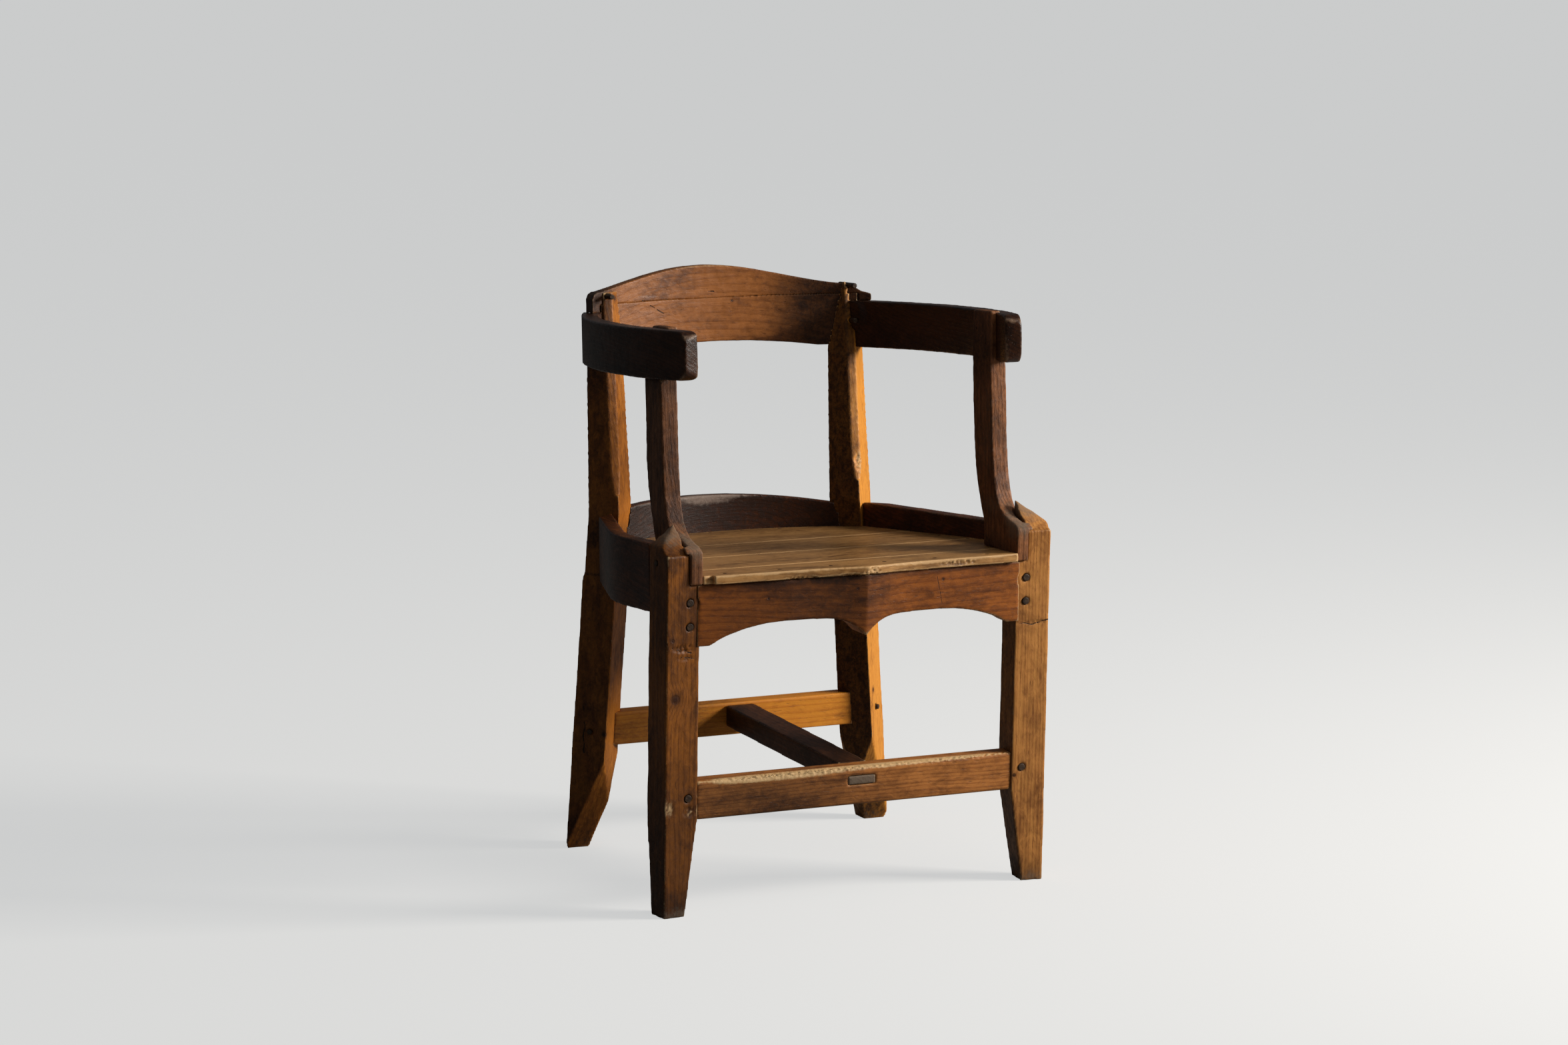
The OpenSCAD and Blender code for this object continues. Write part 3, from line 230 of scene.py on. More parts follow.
def pine(name, grain, light, middle_tone, dark, patina=0.5, bare_and_sheen=BARE_PINE, pith=(0.03, -0.05),
         ring=0.0048, ring_show=0.3, gloss=0.46, bumpy=1.0, knots=(), cracks=(), seed=0.0):
    """Aged pine. patina is the share of the dark tone, and grain is the axis that the fibres follow.
    pith is where the rings' middle passes, and ring is their width. A knot is a place and a radius, and
    a crack is its two ends and its half width."""

    def grained(along, across, detail, rough=0.55, warp=0):
        """Noise drawn out along the fibres: so many waves a metre along them, and across them."""
        stretched = finish.vector("MULTIPLY", place, (along, across, across))
        return finish.noise(stretched, 1.0, detail, rough, warp)

    finish = Finish(name)
    turn = {"X": (0, 0, 0), "Y": (0, 0, -pi / 2), "Z": (0, pi / 2, 0)}[grain]
    place = finish.node("Mapping", {}, {"Vector": finish.place, "Rotation": turn,
                                        "Location": (seed, seed * 0.37, -seed * 0.61)})
    fibre = grained(18, 560, 4, 0.68)
    streak = grained(4.5, 120, 4, 0.64)
    blotch = grained(9, 19, 5, 0.6, 0.6)
    smear = grained(60, 110, 5, 0.66, 0.8)
    fine = finish.noise(place, 210, 4, 0.72)
    pores = grained(60, 540, 2, 0.5).rise(0.64, 0.74)
    slow = grained(1.7, 8, 2)
    across = finish.node("SeparateXYZ", {}, {0: place}, 1) + (slow - 0.5) * 0.085
    deep = finish.node("SeparateXYZ", {}, {0: place}, 2) + (streak - 0.5) * 0.006
    across, deep = across - pith[0], deep - pith[1]
    away = finish.math("SQRT", across * across + deep * deep)
    scars = []
    for knot_place, radius in knots:
        near = finish.vector("DISTANCE", finish.place, knot_place, out=1) + (smear - 0.5) * radius * 0.8
        away = away + finish.math("EXPONENT", near * near * (-1 / (2.4 * radius) ** 2)) * (1.5 * radius)
        core = 1 - near.rise(radius * 0.7, radius * 1.15)
        halo = 1 - near.rise(radius * 0.9, radius * 2.6)
        eye = finish.math("SINE", near * (7 / radius))
        scars.append((core, halo, eye))
    turns = finish.math("FRACT", away / ring)
    late = turns.rise(0.45, 0.92) * (1 - turns.rise(0.94, 1.0))

    tone = late * ring_show + (fibre - 0.5) * 0.9 + (streak - 0.5) * 0.55 + (smear - 0.5) * 0.6 + 0.4
    colour = finish.mix(tone.rise(0, 1), light, middle_tone)
    age = blotch + (streak - 0.5) * 0.35 + (smear - 0.5) * 0.6 + late * ring_show * 0.1 + (patina - 0.5)
    colour = finish.mix(age.rise(0.3, 0.82) * 0.92, colour, dark)
    colour = finish.mix(pores * 0.45, colour, dark)
    height = (fibre * 0.4 + streak * 0.35 + late * 0.12 + fine * 0.2 + blotch * 0.4 + smear * 0.55
              - pores * 0.3)
    for core, halo, eye in scars:
        colour = finish.mix(halo * 0.45, colour, dark)
        colour = finish.mix(core * (0.8 + eye * 0.14), colour, rgb(50, 26, 14))
        height = height - core * 0.3 + core * eye * 0.12
    # This darkening is soiling in some places and painted shade in others.
    grime_and_shade = finish.painted("grime_and_shade") * (0.7 + (fine - 0.5) * 0.45 + (smear - 0.5) * 0.35)
    colour = finish.mix(finish.math("MINIMUM", grime_and_shade * 1.25, 0.96), colour, SHADE_AND_GRIME_BROWN)
    # This paleness is wear, and on the rim's tops and the arm rails' front ends partly a painted sheen.
    worn = (finish.painted("worn") + (fine - 0.5) * 0.6 + (smear - 0.5) * 0.55).rise(0.4, 0.95)
    colour = finish.mix(worn * (0.68 + (fibre - 0.5) * 0.5), colour, bare_and_sheen)
    grey = (finish.painted("grey") + (fine - 0.5) * 0.7 + (smear - 0.5) * 0.5).rise(0.3, 0.9)
    colour = finish.mix(grey * (0.62 + (streak - 0.5) * 0.5), colour, OLD_GREY)
    for start, end, width in cracks:
        shake = finish.vector("SUBTRACT", finish.noise(finish.place, 70, 3, out=1), (0.5, 0.5, 0.5))
        wavy = finish.vector("ADD", finish.place, finish.scaled(shake, width * 5))
        split = 1 - finish.from_line(start, end, wavy).rise(width * 0.4, width)
        colour = finish.mix(split * 0.94, colour, SOOT)
        height = height - split * 1.5
    rough = gloss + (fine - 0.5) * 0.2 + (smear - 0.5) * 0.16 + worn * 0.08 + grey * 0.25 + grime_and_shade * 0.12
    relief = {"Strength": 0.5 * bumpy, "Distance": 0.0012, "Height": height}
    bump = finish.node("Bump", {}, relief, "Normal")
    return finish.done(Base_Color=colour, Roughness=rough, Normal=bump, Specular_IOR_Level=0.26)


def copy_of(node, name):
    """A new piece with a node's shape, its loose triangles merged into whole faces."""
    bpy.ops.object.select_all(action="DESELECT")
    piece = bpy.data.objects.new(name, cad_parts[node].data.copy())
    bpy.context.scene.collection.objects.link(piece)
    piece.data.materials.clear()
    bpy.context.view_layer.objects.active = piece
    piece.select_set(True)
    bpy.ops.object.mode_set(mode="EDIT")
    bpy.ops.mesh.select_all(action="SELECT")
    bpy.ops.mesh.remove_doubles(threshold=0.00001)
    bpy.ops.mesh.dissolve_limited(angle_limit=radians(1))
    bpy.ops.object.mode_set(mode="OBJECT")
    return piece


def finished(piece, kind, **settings):
    """Adds a modifier and applies it."""
    modifier = piece.modifiers.new(kind.lower(), kind)
    for key, value in settings.items():
        setattr(modifier, key, value)
    bpy.context.view_layer.objects.active = piece
    bpy.ops.object.modifier_apply(modifier=modifier.name)


def dents(name, size):
    texture = bpy.data.textures.new(name, "CLOUDS")
    texture.noise_scale = size
    texture.noise_depth = 3
    return texture


def points_of(piece, what="co"):
    values = np.empty(len(piece.data.vertices) * 3)
    piece.data.vertices.foreach_get(what, values)
    return values.reshape(-1, 3)


def nearness(points, spots):
    """Amounts that are highest in the middle of each spot: (place, radius, amount)."""
    reach = 1.3
    total = np.zeros(len(points))
    for spot, radius, amount in spots:
        away = np.linalg.norm((points - np.array(spot)) / np.array(radius), axis=1)
        total += amount * np.clip(reach - away, 0, 1)
    return total


def keep_group(piece, name, weights):
    least = 0.02
    group = piece.vertex_groups.new(name=name)
    for index in np.nonzero(weights > least)[0]:
        group.add([int(index)], float(min(weights[index], 1)), "REPLACE")


wide_dents, small_dents = dents("wide_dents", 0.07), dents("small_dents", 0.012)
blunt_passes = 26


def rounded(piece, soft=5, voxel=0.0017, wave=0.0013, chips=0.0006, blunt=(), crisp=None):
    """Arrises rounded by wear: the piece is cut into small even faces, which are smoothed and dented.
    blunt are spots that wear has rounded much more, and crisp picks points that stay as sawn."""
    finished(piece, "REMESH", mode="VOXEL", voxel_size=voxel, use_smooth_shade=True)
    points = points_of(piece)
    keep_group(piece, "crisp", crisp(points).astype(float) if crisp else np.zeros(len(points)))
    kept = {"vertex_group": "crisp", "invert_vertex_group": True}
    if blunt:
        keep_group(piece, "blunt", nearness(points, blunt))
        finished(piece, "SMOOTH", factor=0.5, iterations=blunt_passes, vertex_group="blunt")
    finished(piece, "SMOOTH", factor=0.5, iterations=soft, **kept)
    for dent, strength in ((wide_dents, wave), (small_dents, chips)):
        finished(piece, "DISPLACE", texture=dent, texture_coords="LOCAL", strength=strength, mid_level=0.5,
                 **kept)


def gouged(piece, hollows):
    """Splinters and chips broken out of the surface: (place, radius, depth)."""
    coarse, fine, steep = 320, 900, 2.2
    points, normals = points_of(piece), points_of(piece, "normal")
    for spot, radius, depth in hollows:
        away = np.linalg.norm((points - np.array(spot)) / np.array(radius), axis=1)
        for index in np.nonzero(away < 1)[0]:
            point = Vector(points[index])
            ragged = 0.6 + noise.noise(point * coarse) + 0.5 * noise.noise(point * fine)
            points[index] -= normals[index] * depth * max(ragged, 0) * min(1, steep * (1 - away[index]))
    piece.data.vertices.foreach_set("co", points.ravel())
    piece.data.update()


def pushed(piece, spot, radius, way):
    """Moves the skin round one spot by up to a few mm. It covers a gap that the solids still have."""
    steep = 3.0
    points = points_of(piece)
    points += nearness(points, ((spot, radius, steep),)).clip(0, 1)[:, None] * np.array(way)
    piece.data.vertices.foreach_set("co", points.ravel())
    piece.data.update()


def paint(piece, worn=(), grime_and_shade=(), grey=(), edge=1.0, dark_sides=()):
    """Paints wear on the arrises and round given spots, some of them a painted sheen, and darkens hollow
    corners and given spots, some soiled and some in painted shade. dark_sides are directions, each with an
    amount by which the faces that look there are darkened with painted shade that the real wood doesn't
    have. dark_sides are directions, each with an amount by which the faces that look there are darkened to
    match the photo's shade. That isn't dirt on the real chair."""
    mesh = piece.data
    points, normals = points_of(piece), points_of(piece, "normal")
    ends = np.empty(len(mesh.edges) * 2, dtype=np.int32)
    mesh.edges.foreach_get("vertices", ends)
    ends = ends.reshape(-1, 2)
    along = points[ends[:, 1]] - points[ends[:, 0]]
    along /= np.linalg.norm(along, axis=1)[:, None] + 1e-12
    bend, count = np.zeros(len(points)), np.zeros(len(points))
    for own, sign in ((0, -1), (1, 1)):
        np.add.at(bend, ends[:, own], sign * (along * normals[ends[:, own]]).sum(1))
        np.add.at(count, ends[:, own], 1)
    bend /= np.maximum(count, 1)
    own_share, near_share = 0.4, 0.6
    for turn in range(2):
        total = np.zeros(len(points))
        np.add.at(total, ends[:, 0], bend[ends[:, 1]])
        np.add.at(total, ends[:, 1], bend[ends[:, 0]])
        bend = own_share * bend + near_share * total / np.maximum(count, 1)
    # Hollow corners are darkened by how far they bend in, up to a limit.
    corner_darkening, most_corner_darkening, arris_wear, most_arris_wear = 5, 0.6, 4.2, 0.8
    face_from, face_steep = 0.55, 4
    # The given spots darken with soiling in some places and painted shade in others, and dark_sides darkens
    # with painted shade.
    dirt_and_shade = np.clip(-bend * corner_darkening, 0, most_corner_darkening) + nearness(points, grime_and_shade)
    for facing, amount in dark_sides:
        turned = normals @ np.array(Vector(facing).normalized())
        dirt_and_shade += amount * np.clip((turned - face_from) * face_steep, 0, 1)
    shades = {
        "worn": np.clip(bend * arris_wear * edge, 0, most_arris_wear) + nearness(points, worn),
        "grime_and_shade": dirt_and_shade,
        "grey": nearness(points, grey),
    }
    for name, values in shades.items():
        values = np.clip(values, 0, 1).astype(np.float32)
        mesh.attributes.new(name, "FLOAT", "POINT").data.foreach_set("value", values)


def place_piece(piece, node, material):
    piece.vertex_groups.clear()
    piece.data.materials.append(material)
    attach(piece, "root")
    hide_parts(node)


left_leg_pine = pine(
    "left_leg_pine", "Z", rgb(154, 94, 36), rgb(122, 70, 24), rgb(66, 37, 14), 0.5, seed=0.3,
    pith=(0.02, -0.06),
    knots=(((-0.2578, -0.2335, 0.2847), 0.007), ((-0.262, -0.2345, 0.3604), 0.003)),
    cracks=(((-0.262, -0.235, 0.351), (-0.236, -0.232, 0.343), 0.0011),
            ((-0.257, -0.234, 0.339), (-0.232, -0.231, 0.336), 0.0008)))
# The right leg's tones are lighter than the left leg's, partly as painted light.
right_leg_pine = pine(
    "right_leg_pine", "Z", rgb(208, 144, 78), rgb(174, 112, 58), rgb(104, 62, 32), 0.45, seed=0.9,
    pith=(0.01, -0.05),
    knots=(((0.2277, -0.2273, 0.1438), 0.0028),),
    cracks=(((0.2235, -0.2295, 0.3465), (0.2467, -0.2336, 0.345), 0.0009),
            ((0.2467, -0.2336, 0.345), (0.2698, -0.2361, 0.3491), 0.0012),
            ((0.224, -0.229, 0.1455), (0.272, -0.234, 0.1475), 0.0006)))
leg_chips = {
    "left": (((-0.247, -0.234, 0.349), (0.018, 0.008, 0.006), 0.0022),
             ((-0.244, -0.232, 0.337), (0.014, 0.008, 0.004), 0.0016),
             ((-0.2349, -0.229, 0.137), (0.012, 0.008, 0.009), 0.0018),
             ((-0.2638, -0.2325, 0.1428), (0.008, 0.008, 0.012), 0.0012)),
    "right": (((0.252, -0.2345, 0.347), (0.02, 0.008, 0.0035), 0.0012),),
}
for side, sign, leg_pine, top_wear, dark_left in (
        ("left", -1, left_leg_pine, 1.0, 0.42), ("right", 1, right_leg_pine, 0.2, 0.85)):
    leg = copy_of("front_leg_" + side, "worn_front_leg_" + side)
    rounded(leg, blunt=(((sign * 0.262, -0.205, 0.497), (0.035, 0.035, 0.035), top_wear),))
    pushed(leg, (sign * 0.2443, -0.1893, 0.504), (0.016, 0.03, 0.03), (sign * -0.0025, 0, 0))
    gouged(leg, leg_chips[side])
    # The faces that look left are darkened with painted shade, and the left leg is darker towards its foot.
    paint(leg,
          worn=(((-0.2638, -0.2325, 0.1428), (0.007, 0.01, 0.014), 0.8),
                ((-0.2349, -0.229, 0.135), (0.01, 0.01, 0.008), 0.5)),
          grime_and_shade=(((sign * 0.25, -0.23, 0.0), (0.06, 0.06, 0.03), 0.55),
                 ((sign * 0.212, -0.225, 0.39), (0.008, 0.02, 0.05), 0.5),
                 ((-0.25, -0.21, 0.06), (0.06, 0.06, 0.14), 0.6)),
          dark_sides=(((-1, 0, 0), dark_left),),
          grey=(((sign * 0.26, -0.205, 0.5), (0.045, 0.05, 0.03), 0.9),
                ((sign * 0.25, -0.23, 0.0), (0.06, 0.06, 0.022), 0.6)))
    place_piece(leg, "front_leg_" + side, leg_pine)


# Back posts: square pine set cornerwise, bent backwards above the seat and tapered at the foot. The
# right one is a bright orange, partly painted light. Round the joints with the rails the edges stay sharp.
left_post_pine = pine(
    "left_post_pine", "Z", rgb(214, 134, 52), rgb(176, 102, 38), rgb(96, 54, 24), 0.4, seed=1.7,
    pith=(-0.05, 0.03),
    cracks=(((-0.2191, 0.1654, 0.1968), (-0.2202, 0.1628, 0.1334), 0.0013),),
    knots=(((-0.1991, 0.1434, 0.1611), 0.0035), ((-0.1594, 0.2, 0.742), 0.004)))
right_post_pine = pine(
    "right_post_pine", "Z", rgb(230, 156, 66), rgb(200, 124, 48), rgb(112, 62, 26), 0.32, seed=2.3,
    pith=(-0.05, 0.03),
    knots=(((0.1951, 0.1465, 0.1652), 0.003), ((0.2054, 0.1513, 0.1885), 0.0034),
           ((0.182, 0.156, 0.53), 0.004)))
joint_low, joint_high = 0.655, 0.765


def at_post_joints(points):
    return (points[:, 2] > joint_low) & (points[:, 2] < joint_high)


for side, sign, post_pine, dark_left in (
        ("left", -1, left_post_pine, 0.8), ("right", 1, right_post_pine, 1.0)):
    post = copy_of("back_post_" + side, "worn_back_post_" + side)
    rounded(post, voxel=0.0015, crisp=at_post_joints,
            blunt=(((sign * 0.178, 0.21, 0.775), (0.04, 0.04, 0.02), 0.8),))
    gouged(post, (((0.183, 0.156, 0.506), (0.008, 0.01, 0.014), 0.0018),
                  ((-0.168, 0.177, 0.5), (0.012, 0.01, 0.02), 0.002)))
    # The faces that look left and forwards are darkened with painted shade.
    paint(post, dark_sides=(((-1, -1, 0), dark_left),),
          worn=(((0.183, 0.157, 0.507), (0.008, 0.01, 0.022), 0.7),
                ((sign * 0.19, 0.135, 0.02), (0.03, 0.03, 0.03), 0.5)),
          grime_and_shade=(((sign * 0.178, 0.18, 0.43), (0.05, 0.05, 0.018), 0.7),
                 ((sign * 0.178, 0.2, 0.71), (0.05, 0.05, 0.09), 0.4),
                 ((sign * 0.2, 0.15, 0.0), (0.06, 0.06, 0.05), 0.6)),
          grey=(((sign * 0.2, 0.15, 0.0), (0.06, 0.06, 0.02), 0.6),))
    place_piece(post, "back_post_" + side, post_pine)


# Seat: thin pine boards along the apron, in a rim of three curved pieces that is pegged to the posts.
# The rim is nearly black and polished, and paler along the top of its back piece, partly from wear and
# partly a painted sheen.
rim_tones = rgb(126, 68, 32), rgb(74, 40, 22), rgb(36, 20, 13)
rim_pine = pine("rim_pine", "Y", *rim_tones, 0.55, bare_and_sheen=rgb(150, 122, 100), seed=2.1, gloss=0.4)
# The back piece's pale colour stands for wear and for a painted sheen.
rim_back_pine = pine(
    "rim_back_pine", "X", *rim_tones, 0.55, bare_and_sheen=rgb(150, 132, 120), seed=2.9, gloss=0.38)
for side, piece_pine, dark_front in (
        ("left", rim_pine, 0), ("right", rim_pine, 0), ("back", rim_back_pine, 0.95)):
    rim = copy_of("seat_rim_" + side, "worn_seat_rim_" + side)
    rounded(rim, soft=4)
    # The faces that look left, and on the back piece those that look forwards, are darkened with painted
    # shade, as are the back piece's foot and the left piece's outer side; the pale marks along the tops are
    # wear and painted sheen.
    paint(rim, edge=0.8, dark_sides=(((-1, 0, 0), 0.4), ((-0.2, -1, 0), dark_front)),
          worn=(((-0.03, 0.203, 0.462), (0.07, 0.015, 0.012), 0.85),
                ((-0.13, 0.19, 0.46), (0.05, 0.02, 0.012), 0.4),
                ((0.24, 0.03, 0.462), (0.03, 0.16, 0.01), 0.5)),
          grime_and_shade=(((0, 0.2, 0.43), (0.2, 0.03, 0.02), 0.5),
                 ((-0.27, 0, 0.42), (0.02, 0.25, 0.09), 0.35)))
    place_piece(rim, "seat_rim_" + side, piece_pine)

seam_places = (-0.1803, 0.4376), (-0.0624, 0.431), (0.0554, 0.4247)
seams = tuple(((-0.2, y, z), (0.215, y, z), 0.0006) for y, z in seam_places)
seat_pine = pine(
    "seat_pine", "X", rgb(192, 144, 90), rgb(150, 105, 58), rgb(84, 54, 29), 0.42, seed=4.2,
    pith=(0.02, -0.03), ring=0.007, bare_and_sheen=rgb(222, 180, 128), gloss=0.42, bumpy=0.8,
    cracks=(((-0.16, -0.19, 0.438), (0.02, -0.188, 0.438), 0.0005),
            ((0.04, -0.12, 0.436), (0.19, -0.118, 0.436), 0.0005),
            ((-0.0563, -0.2515, 0.4335), (-0.004, -0.26, 0.4325), 0.0014)) + seams)
front_board_chips = (
    ((0.006, -0.259, 0.434), (0.013, 0.006, 0.008), 0.0024),
    ((-0.03, -0.256, 0.43), (0.03, 0.006, 0.004), 0.0022),
    ((0.135, -0.247, 0.436), (0.035, 0.005, 0.004), 0.0018),
    ((-0.09, -0.249, 0.43), (0.03, 0.006, 0.004), 0.0014))
for number in "1234":
    board = copy_of("seat_board_" + number, "worn_seat_board_" + number)
    rounded(board, soft=3, voxel=0.0015, wave=0.0005, chips=0.0004)
    if number == "1":
        gouged(board, front_board_chips)
    # The darker band along the back and the right side is painted shadow of the rim and the back, the darker
    # middle is painted shade, and the left side is darkened along the rim.
    paint(board, edge=2.6,
          worn=(((0.006, -0.259, 0.435), (0.012, 0.008, 0.006), 1.0),
                ((0.11, -0.247, 0.439), (0.1, 0.008, 0.004), 0.7),
                ((-0.12, -0.246, 0.439), (0.1, 0.008, 0.004), 0.45),
                ((0, -0.1, 0.44), (0.16, 0.12, 0.02), 0.12)),
          grime_and_shade=(((0, 0.19, 0.43), (0.2, 0.03, 0.03), 0.5),
                 ((0.05, 0.05, 0.43), (0.2, 0.13, 0.03), 0.4),
                 ((-0.23, 0, 0.43), (0.025, 0.2, 0.03), 0.5),
                 ((0.23, 0, 0.43), (0.025, 0.2, 0.03), 0.5)))
    place_piece(board, "seat_board_" + number, seat_pine)


# Apron: a thick sawn board with two arches and a middle ridge, tenoned and pegged into the legs.
# A few small dark holes lie along its top.
apron_pine = pine(
    "apron_pine", "X", rgb(162, 94, 38), rgb(126, 68, 26), rgb(66, 35, 15), 0.48, seed=5.5,
    pith=(0.02, 0.04), ring=0.008,
    knots=(((-0.0125, -0.2513, 0.413), 0.0016), ((0.1136, -0.2418, 0.4147), 0.0018),
           ((-0.1325, -0.2404, 0.4067), 0.0018)),
    cracks=(((0.1046, -0.2424, 0.4189), (0.1124, -0.2412, 0.3833), 0.0005),
            ((-0.2, -0.24, 0.372), (-0.1, -0.24, 0.376), 0.0004)))
apron = copy_of("front_apron", "worn_front_apron")
rounded(apron)
# The darker patches left of the middle are painted shade, the band under the seat's overhang is its painted
# shadow, and the ridge's foot and the right end are made paler.
paint(apron,
      worn=(((0.0, -0.253, 0.355), (0.02, 0.01, 0.03), 0.25),
            ((0.2, -0.24, 0.39), (0.05, 0.02, 0.05), 0.3)),
      grime_and_shade=(((-0.05, -0.25, 0.40), (0.08, 0.02, 0.06), 0.75),
             ((-0.16, -0.235, 0.38), (0.08, 0.02, 0.06), 0.45),
             ((0, -0.24, 0.428), (0.25, 0.03, 0.008), 0.5)))
place_piece(apron, "front_apron", apron_pine)


# Stretchers: three bars that tie the legs together near the floor. The front one's top arris is torn
# down to pale wood, the back one is bright, partly painted light, and the middle one ends in a through
# tenon.
front_bar_pine = pine(
    "front_stretcher_pine", "X", rgb(196, 128, 68), rgb(150, 90, 44), rgb(74, 42, 20), 0.44, seed=6.1,
    bare_and_sheen=rgb(224, 190, 138), bumpy=1.2)
rear_bar_pine = pine(
    "rear_stretcher_pine", "X", rgb(236, 154, 56), rgb(204, 122, 42), rgb(112, 62, 24), 0.34, seed=6.7,
    ring=0.006)
middle_bar_pine = pine(
    "middle_stretcher_pine", "Y", rgb(92, 56, 32), rgb(62, 36, 20), rgb(34, 20, 12), 0.55, seed=7.1)
bar_chips = {"front": (((-0.08, -0.225, 0.174), (0.16, 0.009, 0.006), 0.0026),
                       ((0.12, -0.225, 0.174), (0.13, 0.007, 0.005), 0.0016))}
bar_wear = {"front": (((-0.02, -0.221, 0.175), (0.2, 0.0085, 0.006), 0.95),
                      ((0.1, -0.221, 0.175), (0.14, 0.006, 0.005), 0.8),
                      ((-0.1, -0.226, 0.171), (0.09, 0.008, 0.007), 0.8),
                      ((-0.17, -0.224, 0.172), (0.05, 0.008, 0.006), 0.6))}
# The rear bar's dark left part is painted shadow of the left legs; the front bar is darker on its left part
# and along its underside.
bar_grime_and_shade = {"front": (((-0.14, -0.226, 0.14), (0.16, 0.02, 0.05), 0.75),
                       ((0, -0.2, 0.124), (0.3, 0.03, 0.012), 0.4)),
             "rear": (((-0.13, 0.16, 0.155), (0.14, 0.05, 0.05), 0.7),)}
tenon_grey = {"middle": (((0.008, -0.2265, 0.16), (0.06, 0.01, 0.05), 1.6),)}
for part, bar_pine in (("front", front_bar_pine), ("rear", rear_bar_pine), ("middle", middle_bar_pine)):
    bar = copy_of(part + "_stretcher", "worn_" + part + "_stretcher")
    rounded(bar, soft=6)
    if part in bar_chips:
        gouged(bar, bar_chips[part])
    paint(bar, worn=bar_wear.get(part, ()), grime_and_shade=bar_grime_and_shade.get(part, ()), grey=tenon_grey.get(part, ()))
    place_piece(bar, part + "_stretcher", bar_pine)


# Arm posts: sawn pine boards whose ogee foot stands on the leg's shoulder and the seat. They are rough,
# purplish brown, and weathered grey on the foot.
arm_post_pine = pine(
    "arm_post_pine", "Z", rgb(172, 112, 70), rgb(128, 80, 50), rgb(58, 35, 23), 0.5,
    bare_and_sheen=rgb(176, 140, 108), seed=8.3, bumpy=1.8, gloss=0.52)
for side, sign, dark_front in (("left", -1, 0.55), ("right", 1, 0)):
    arm_post = copy_of("arm_post_" + side, "worn_arm_post_" + side)
    rounded(arm_post, soft=8, wave=0.0018,
            blunt=(((sign * 0.23, -0.22, 0.48), (0.02, 0.03, 0.02), 0.6),))
    # The faces that look left, and on the left post those that look forwards, are darkened with painted
    # shade.
    paint(arm_post, dark_sides=(((-1, 0, 0), 0.55), ((0, -1, 0), dark_front)),
          grime_and_shade=(((sign * 0.234, -0.12, 0.69), (0.04, 0.06, 0.04), 0.5),
                 ((sign * 0.24, -0.16, 0.44), (0.03, 0.06, 0.02), 0.5)),
          grey=(((sign * 0.23, -0.225, 0.475), (0.025, 0.03, 0.03), 0.8),
                ((sign * 0.232, -0.18, 0.492), (0.02, 0.06, 0.02), 0.5),
                ((sign * 0.222, -0.15, 0.6), (0.006, 0.05, 0.12), 0.45)))
    place_piece(arm_post, "arm_post_" + side, arm_post_pine)


# Arm rails: pine boards on edge, curved in plan, pegged into the back posts. They are nearly black and
# polished, and pale on their front ends, partly rubbed and partly a painted highlight.
arm_rail_pine = pine(
    "arm_rail_pine", "Y", rgb(72, 44, 28), rgb(48, 28, 18), rgb(26, 16, 11), 0.5,
    bare_and_sheen=rgb(160, 128, 102), seed=9.1, gloss=0.34)
arm_joint_from = 0.15


def at_arm_joints(points):
    return points[:, 1] > arm_joint_from


for side, sign in (("left", -1), ("right", 1)):
    arm_rail = copy_of("arm_rail_" + side, "worn_arm_rail_" + side)
    rounded(arm_rail, soft=12, voxel=0.0012, crisp=at_arm_joints,
            blunt=(((sign * 0.226, -0.208, 0.745), (0.03, 0.02, 0.022), 1.0),
                   ((sign * 0.226, -0.208, 0.685), (0.03, 0.02, 0.022), 1.0)))
    pushed(arm_rail, (sign * 0.187, 0.186, 0.706), (0.013, 0.02, 0.018), (sign * -0.0045, 0.001, 0.0012))
    # The pale spots on the front ends are wear and a painted highlight.
    paint(arm_rail, edge=0.9,
          worn=(((sign * 0.226, -0.208, 0.74), (0.016, 0.008, 0.006), 0.55),
                ((sign * 0.218, -0.211, 0.70), (0.006, 0.01, 0.03), 0.45),
                ((sign * 0.237, -0.206, 0.70), (0.006, 0.01, 0.035), 0.45)))
    place_piece(arm_rail, "arm_rail_" + side, arm_rail_pine)


# Back: a curved rail between the posts with an arched crest on top of it. Both are sawn from thick
# pine, and their joint shows as a thin line.
arms_slope = 4.7
arms_level = Matrix.Rotation(radians(lean_angle - arms_slope), 3, "X") @ Vector((0, 0, 1))
arms_start = chair_lean @ Vector((0, 0.089, 0.680)) - middle
seam_high, seam_half, ends_from, ends_high = 0.0735, 0.006, 0.135, 0.12


def at_joints(points):
    """Along the seam, and where the ends meet the posts."""
    high = (points - np.array(arms_start)) @ np.array(arms_level)
    at_seam = np.abs(high - seam_high) < seam_half
    return at_seam | (np.abs(points[:, 0]) > ends_from) & (high < ends_high)


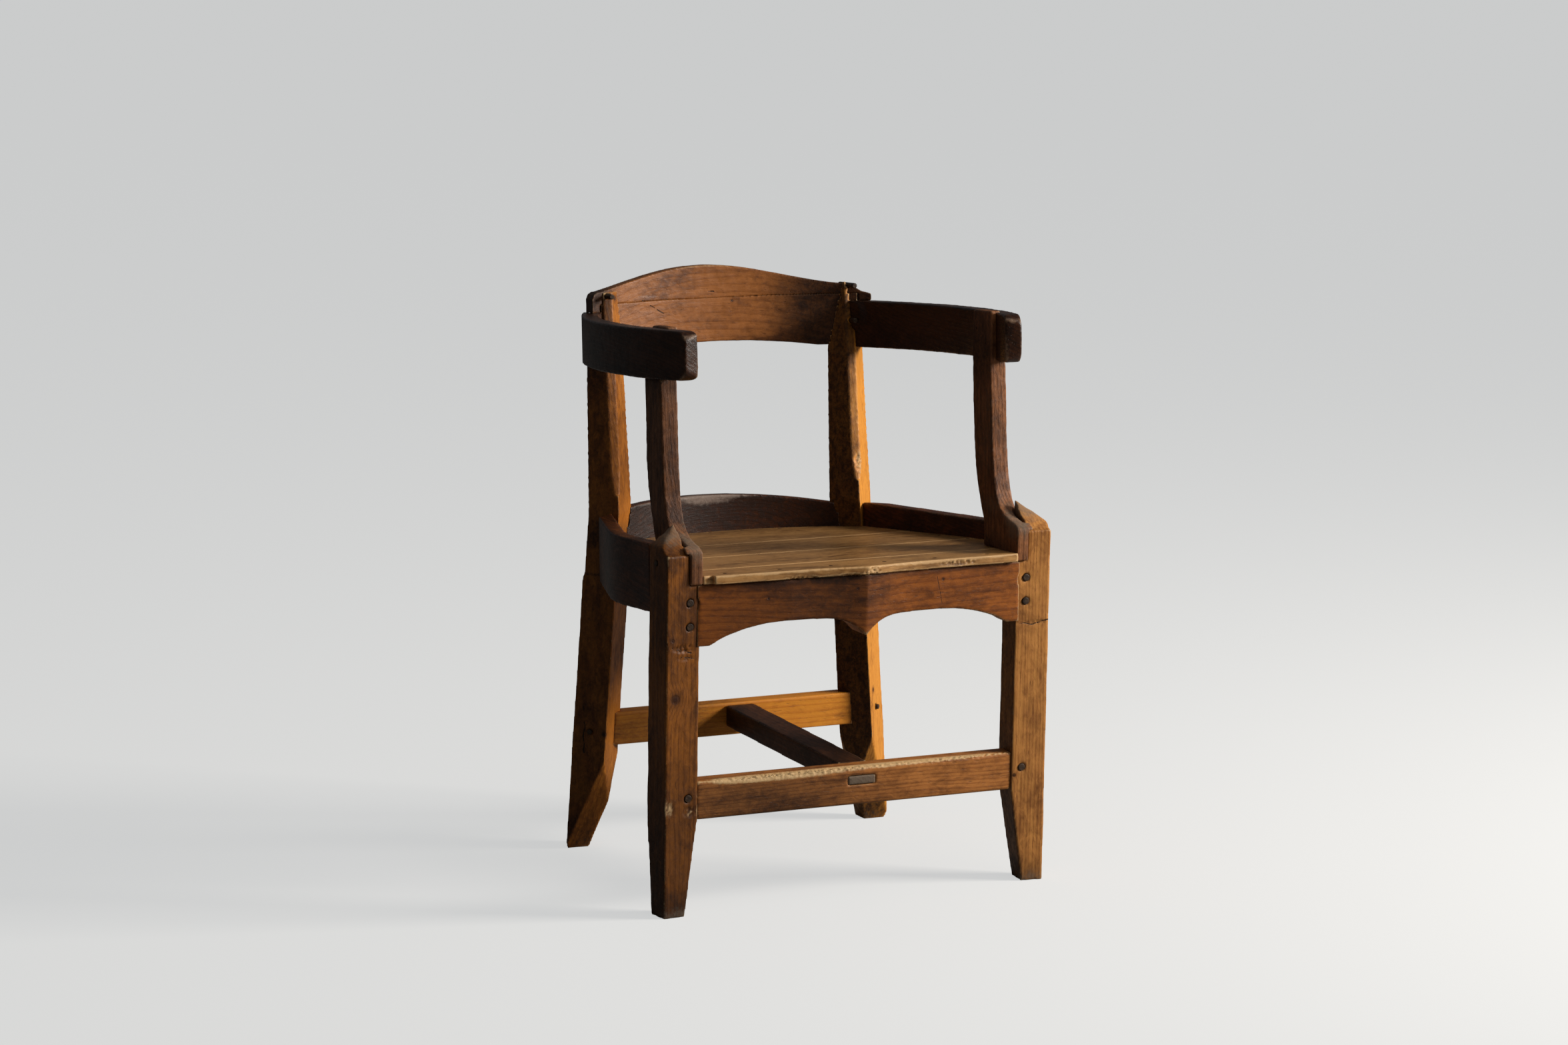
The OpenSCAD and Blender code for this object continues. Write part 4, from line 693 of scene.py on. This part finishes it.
back_tones = rgb(166, 105, 56), rgb(130, 78, 38), rgb(76, 43, 22)
back_pine = pine(
    "back_rail_pine", "X", *back_tones, 0.42, seed=10.4, pith=(0.08, -0.02), ring=0.009, ring_show=0.22,
    cracks=(((-0.0985, 0.224, 0.727), (-0.0773, 0.2281, 0.7148), 0.0009),
            ((-0.0773, 0.2281, 0.7148), (-0.068, 0.229, 0.7152), 0.0006),
            ((0.0578, 0.2324, 0.7325), (0.1422, 0.2117, 0.7345), 0.0016)),
    knots=(((0.0272, 0.2351, 0.7266), 0.0016),))
crest_pine = pine(
    "crest_pine", "X", *back_tones, 0.4, seed=10.9, pith=(0.08, -0.02), ring=0.009, ring_show=0.22,
    cracks=(((-0.1114, 0.2213, 0.7345), (-0.095, 0.225, 0.729), 0.0009),
            ((-0.0789, 0.2288, 0.7325), (-0.072, 0.2295, 0.7335), 0.0012),
            ((-0.008, 0.2368, 0.7405), (0.0, 0.2368, 0.7395), 0.0010)))
for node, rail_pine in (("back_rail", back_pine), ("crest_rail", crest_pine)):
    rail = copy_of(node, "worn_" + node)
    rounded(rail, soft=7, voxel=0.0012, crisp=at_joints)
    # The dark right end and right horn are painted shadow of the right post and arm rail; the left end block
    # is darkened too.
    paint(rail, edge=0.8,
          grime_and_shade=(((0.17, 0.2, 0.71), (0.085, 0.08, 0.12), 1.4),
                 ((-0.19, 0.2, 0.75), (0.035, 0.06, 0.06), 1.1),
                 ((0.2, 0.2, 0.75), (0.045, 0.06, 0.06), 1.1)),
          worn=(((-0.03, 0.24, 0.775), (0.12, 0.02, 0.006), 0.3),))
    place_piece(rail, node, rail_pine)


# Pegs, dowels, cleats and nails: split pegs of a harder wood, nearly black at their ends, cleats of
# unfinished pine under the seat, and cut nails.
peg_wood = pine(
    "peg_end_grain", "Y", rgb(84, 66, 52), rgb(58, 44, 34), rgb(32, 25, 20), 0.5, seed=11.3, gloss=0.5)
for node in ("apron_pegs", "front_stretcher_pegs", "rear_stretcher_pegs", "rim_pegs", "arm_rail_pegs",
             "back_pegs", "arm_foot_pegs"):
    pegs = copy_of(node, "worn_" + node)
    rounded(pegs, soft=2, voxel=0.0006, wave=0.0002, chips=0.0004)
    paint(pegs, edge=0.15)
    place_piece(pegs, node, peg_wood)

cleat_pine = pine(
    "raw_pine", "X", rgb(190, 150, 98), rgb(164, 122, 74), rgb(120, 84, 50), 0.4, seed=12.2)
for node in ("seat_cleat_left", "seat_cleat_right", "seat_cleat_back", "crest_dowels"):
    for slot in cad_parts[node].material_slots:
        slot.material = cleat_pine

iron = Finish("rusty_iron")
rust = iron.noise(iron.place, 700, 4, 0.7)
rusty_iron = iron.done(
    Base_Color=iron.mix(rust, rgb(34, 28, 25), rgb(78, 48, 30)), Roughness=0.5 + rust * 0.35, Metallic=0.45)
for node in ("seat_nails", "tongue_nails"):
    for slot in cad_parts[node].material_slots:
        slot.material = rusty_iron
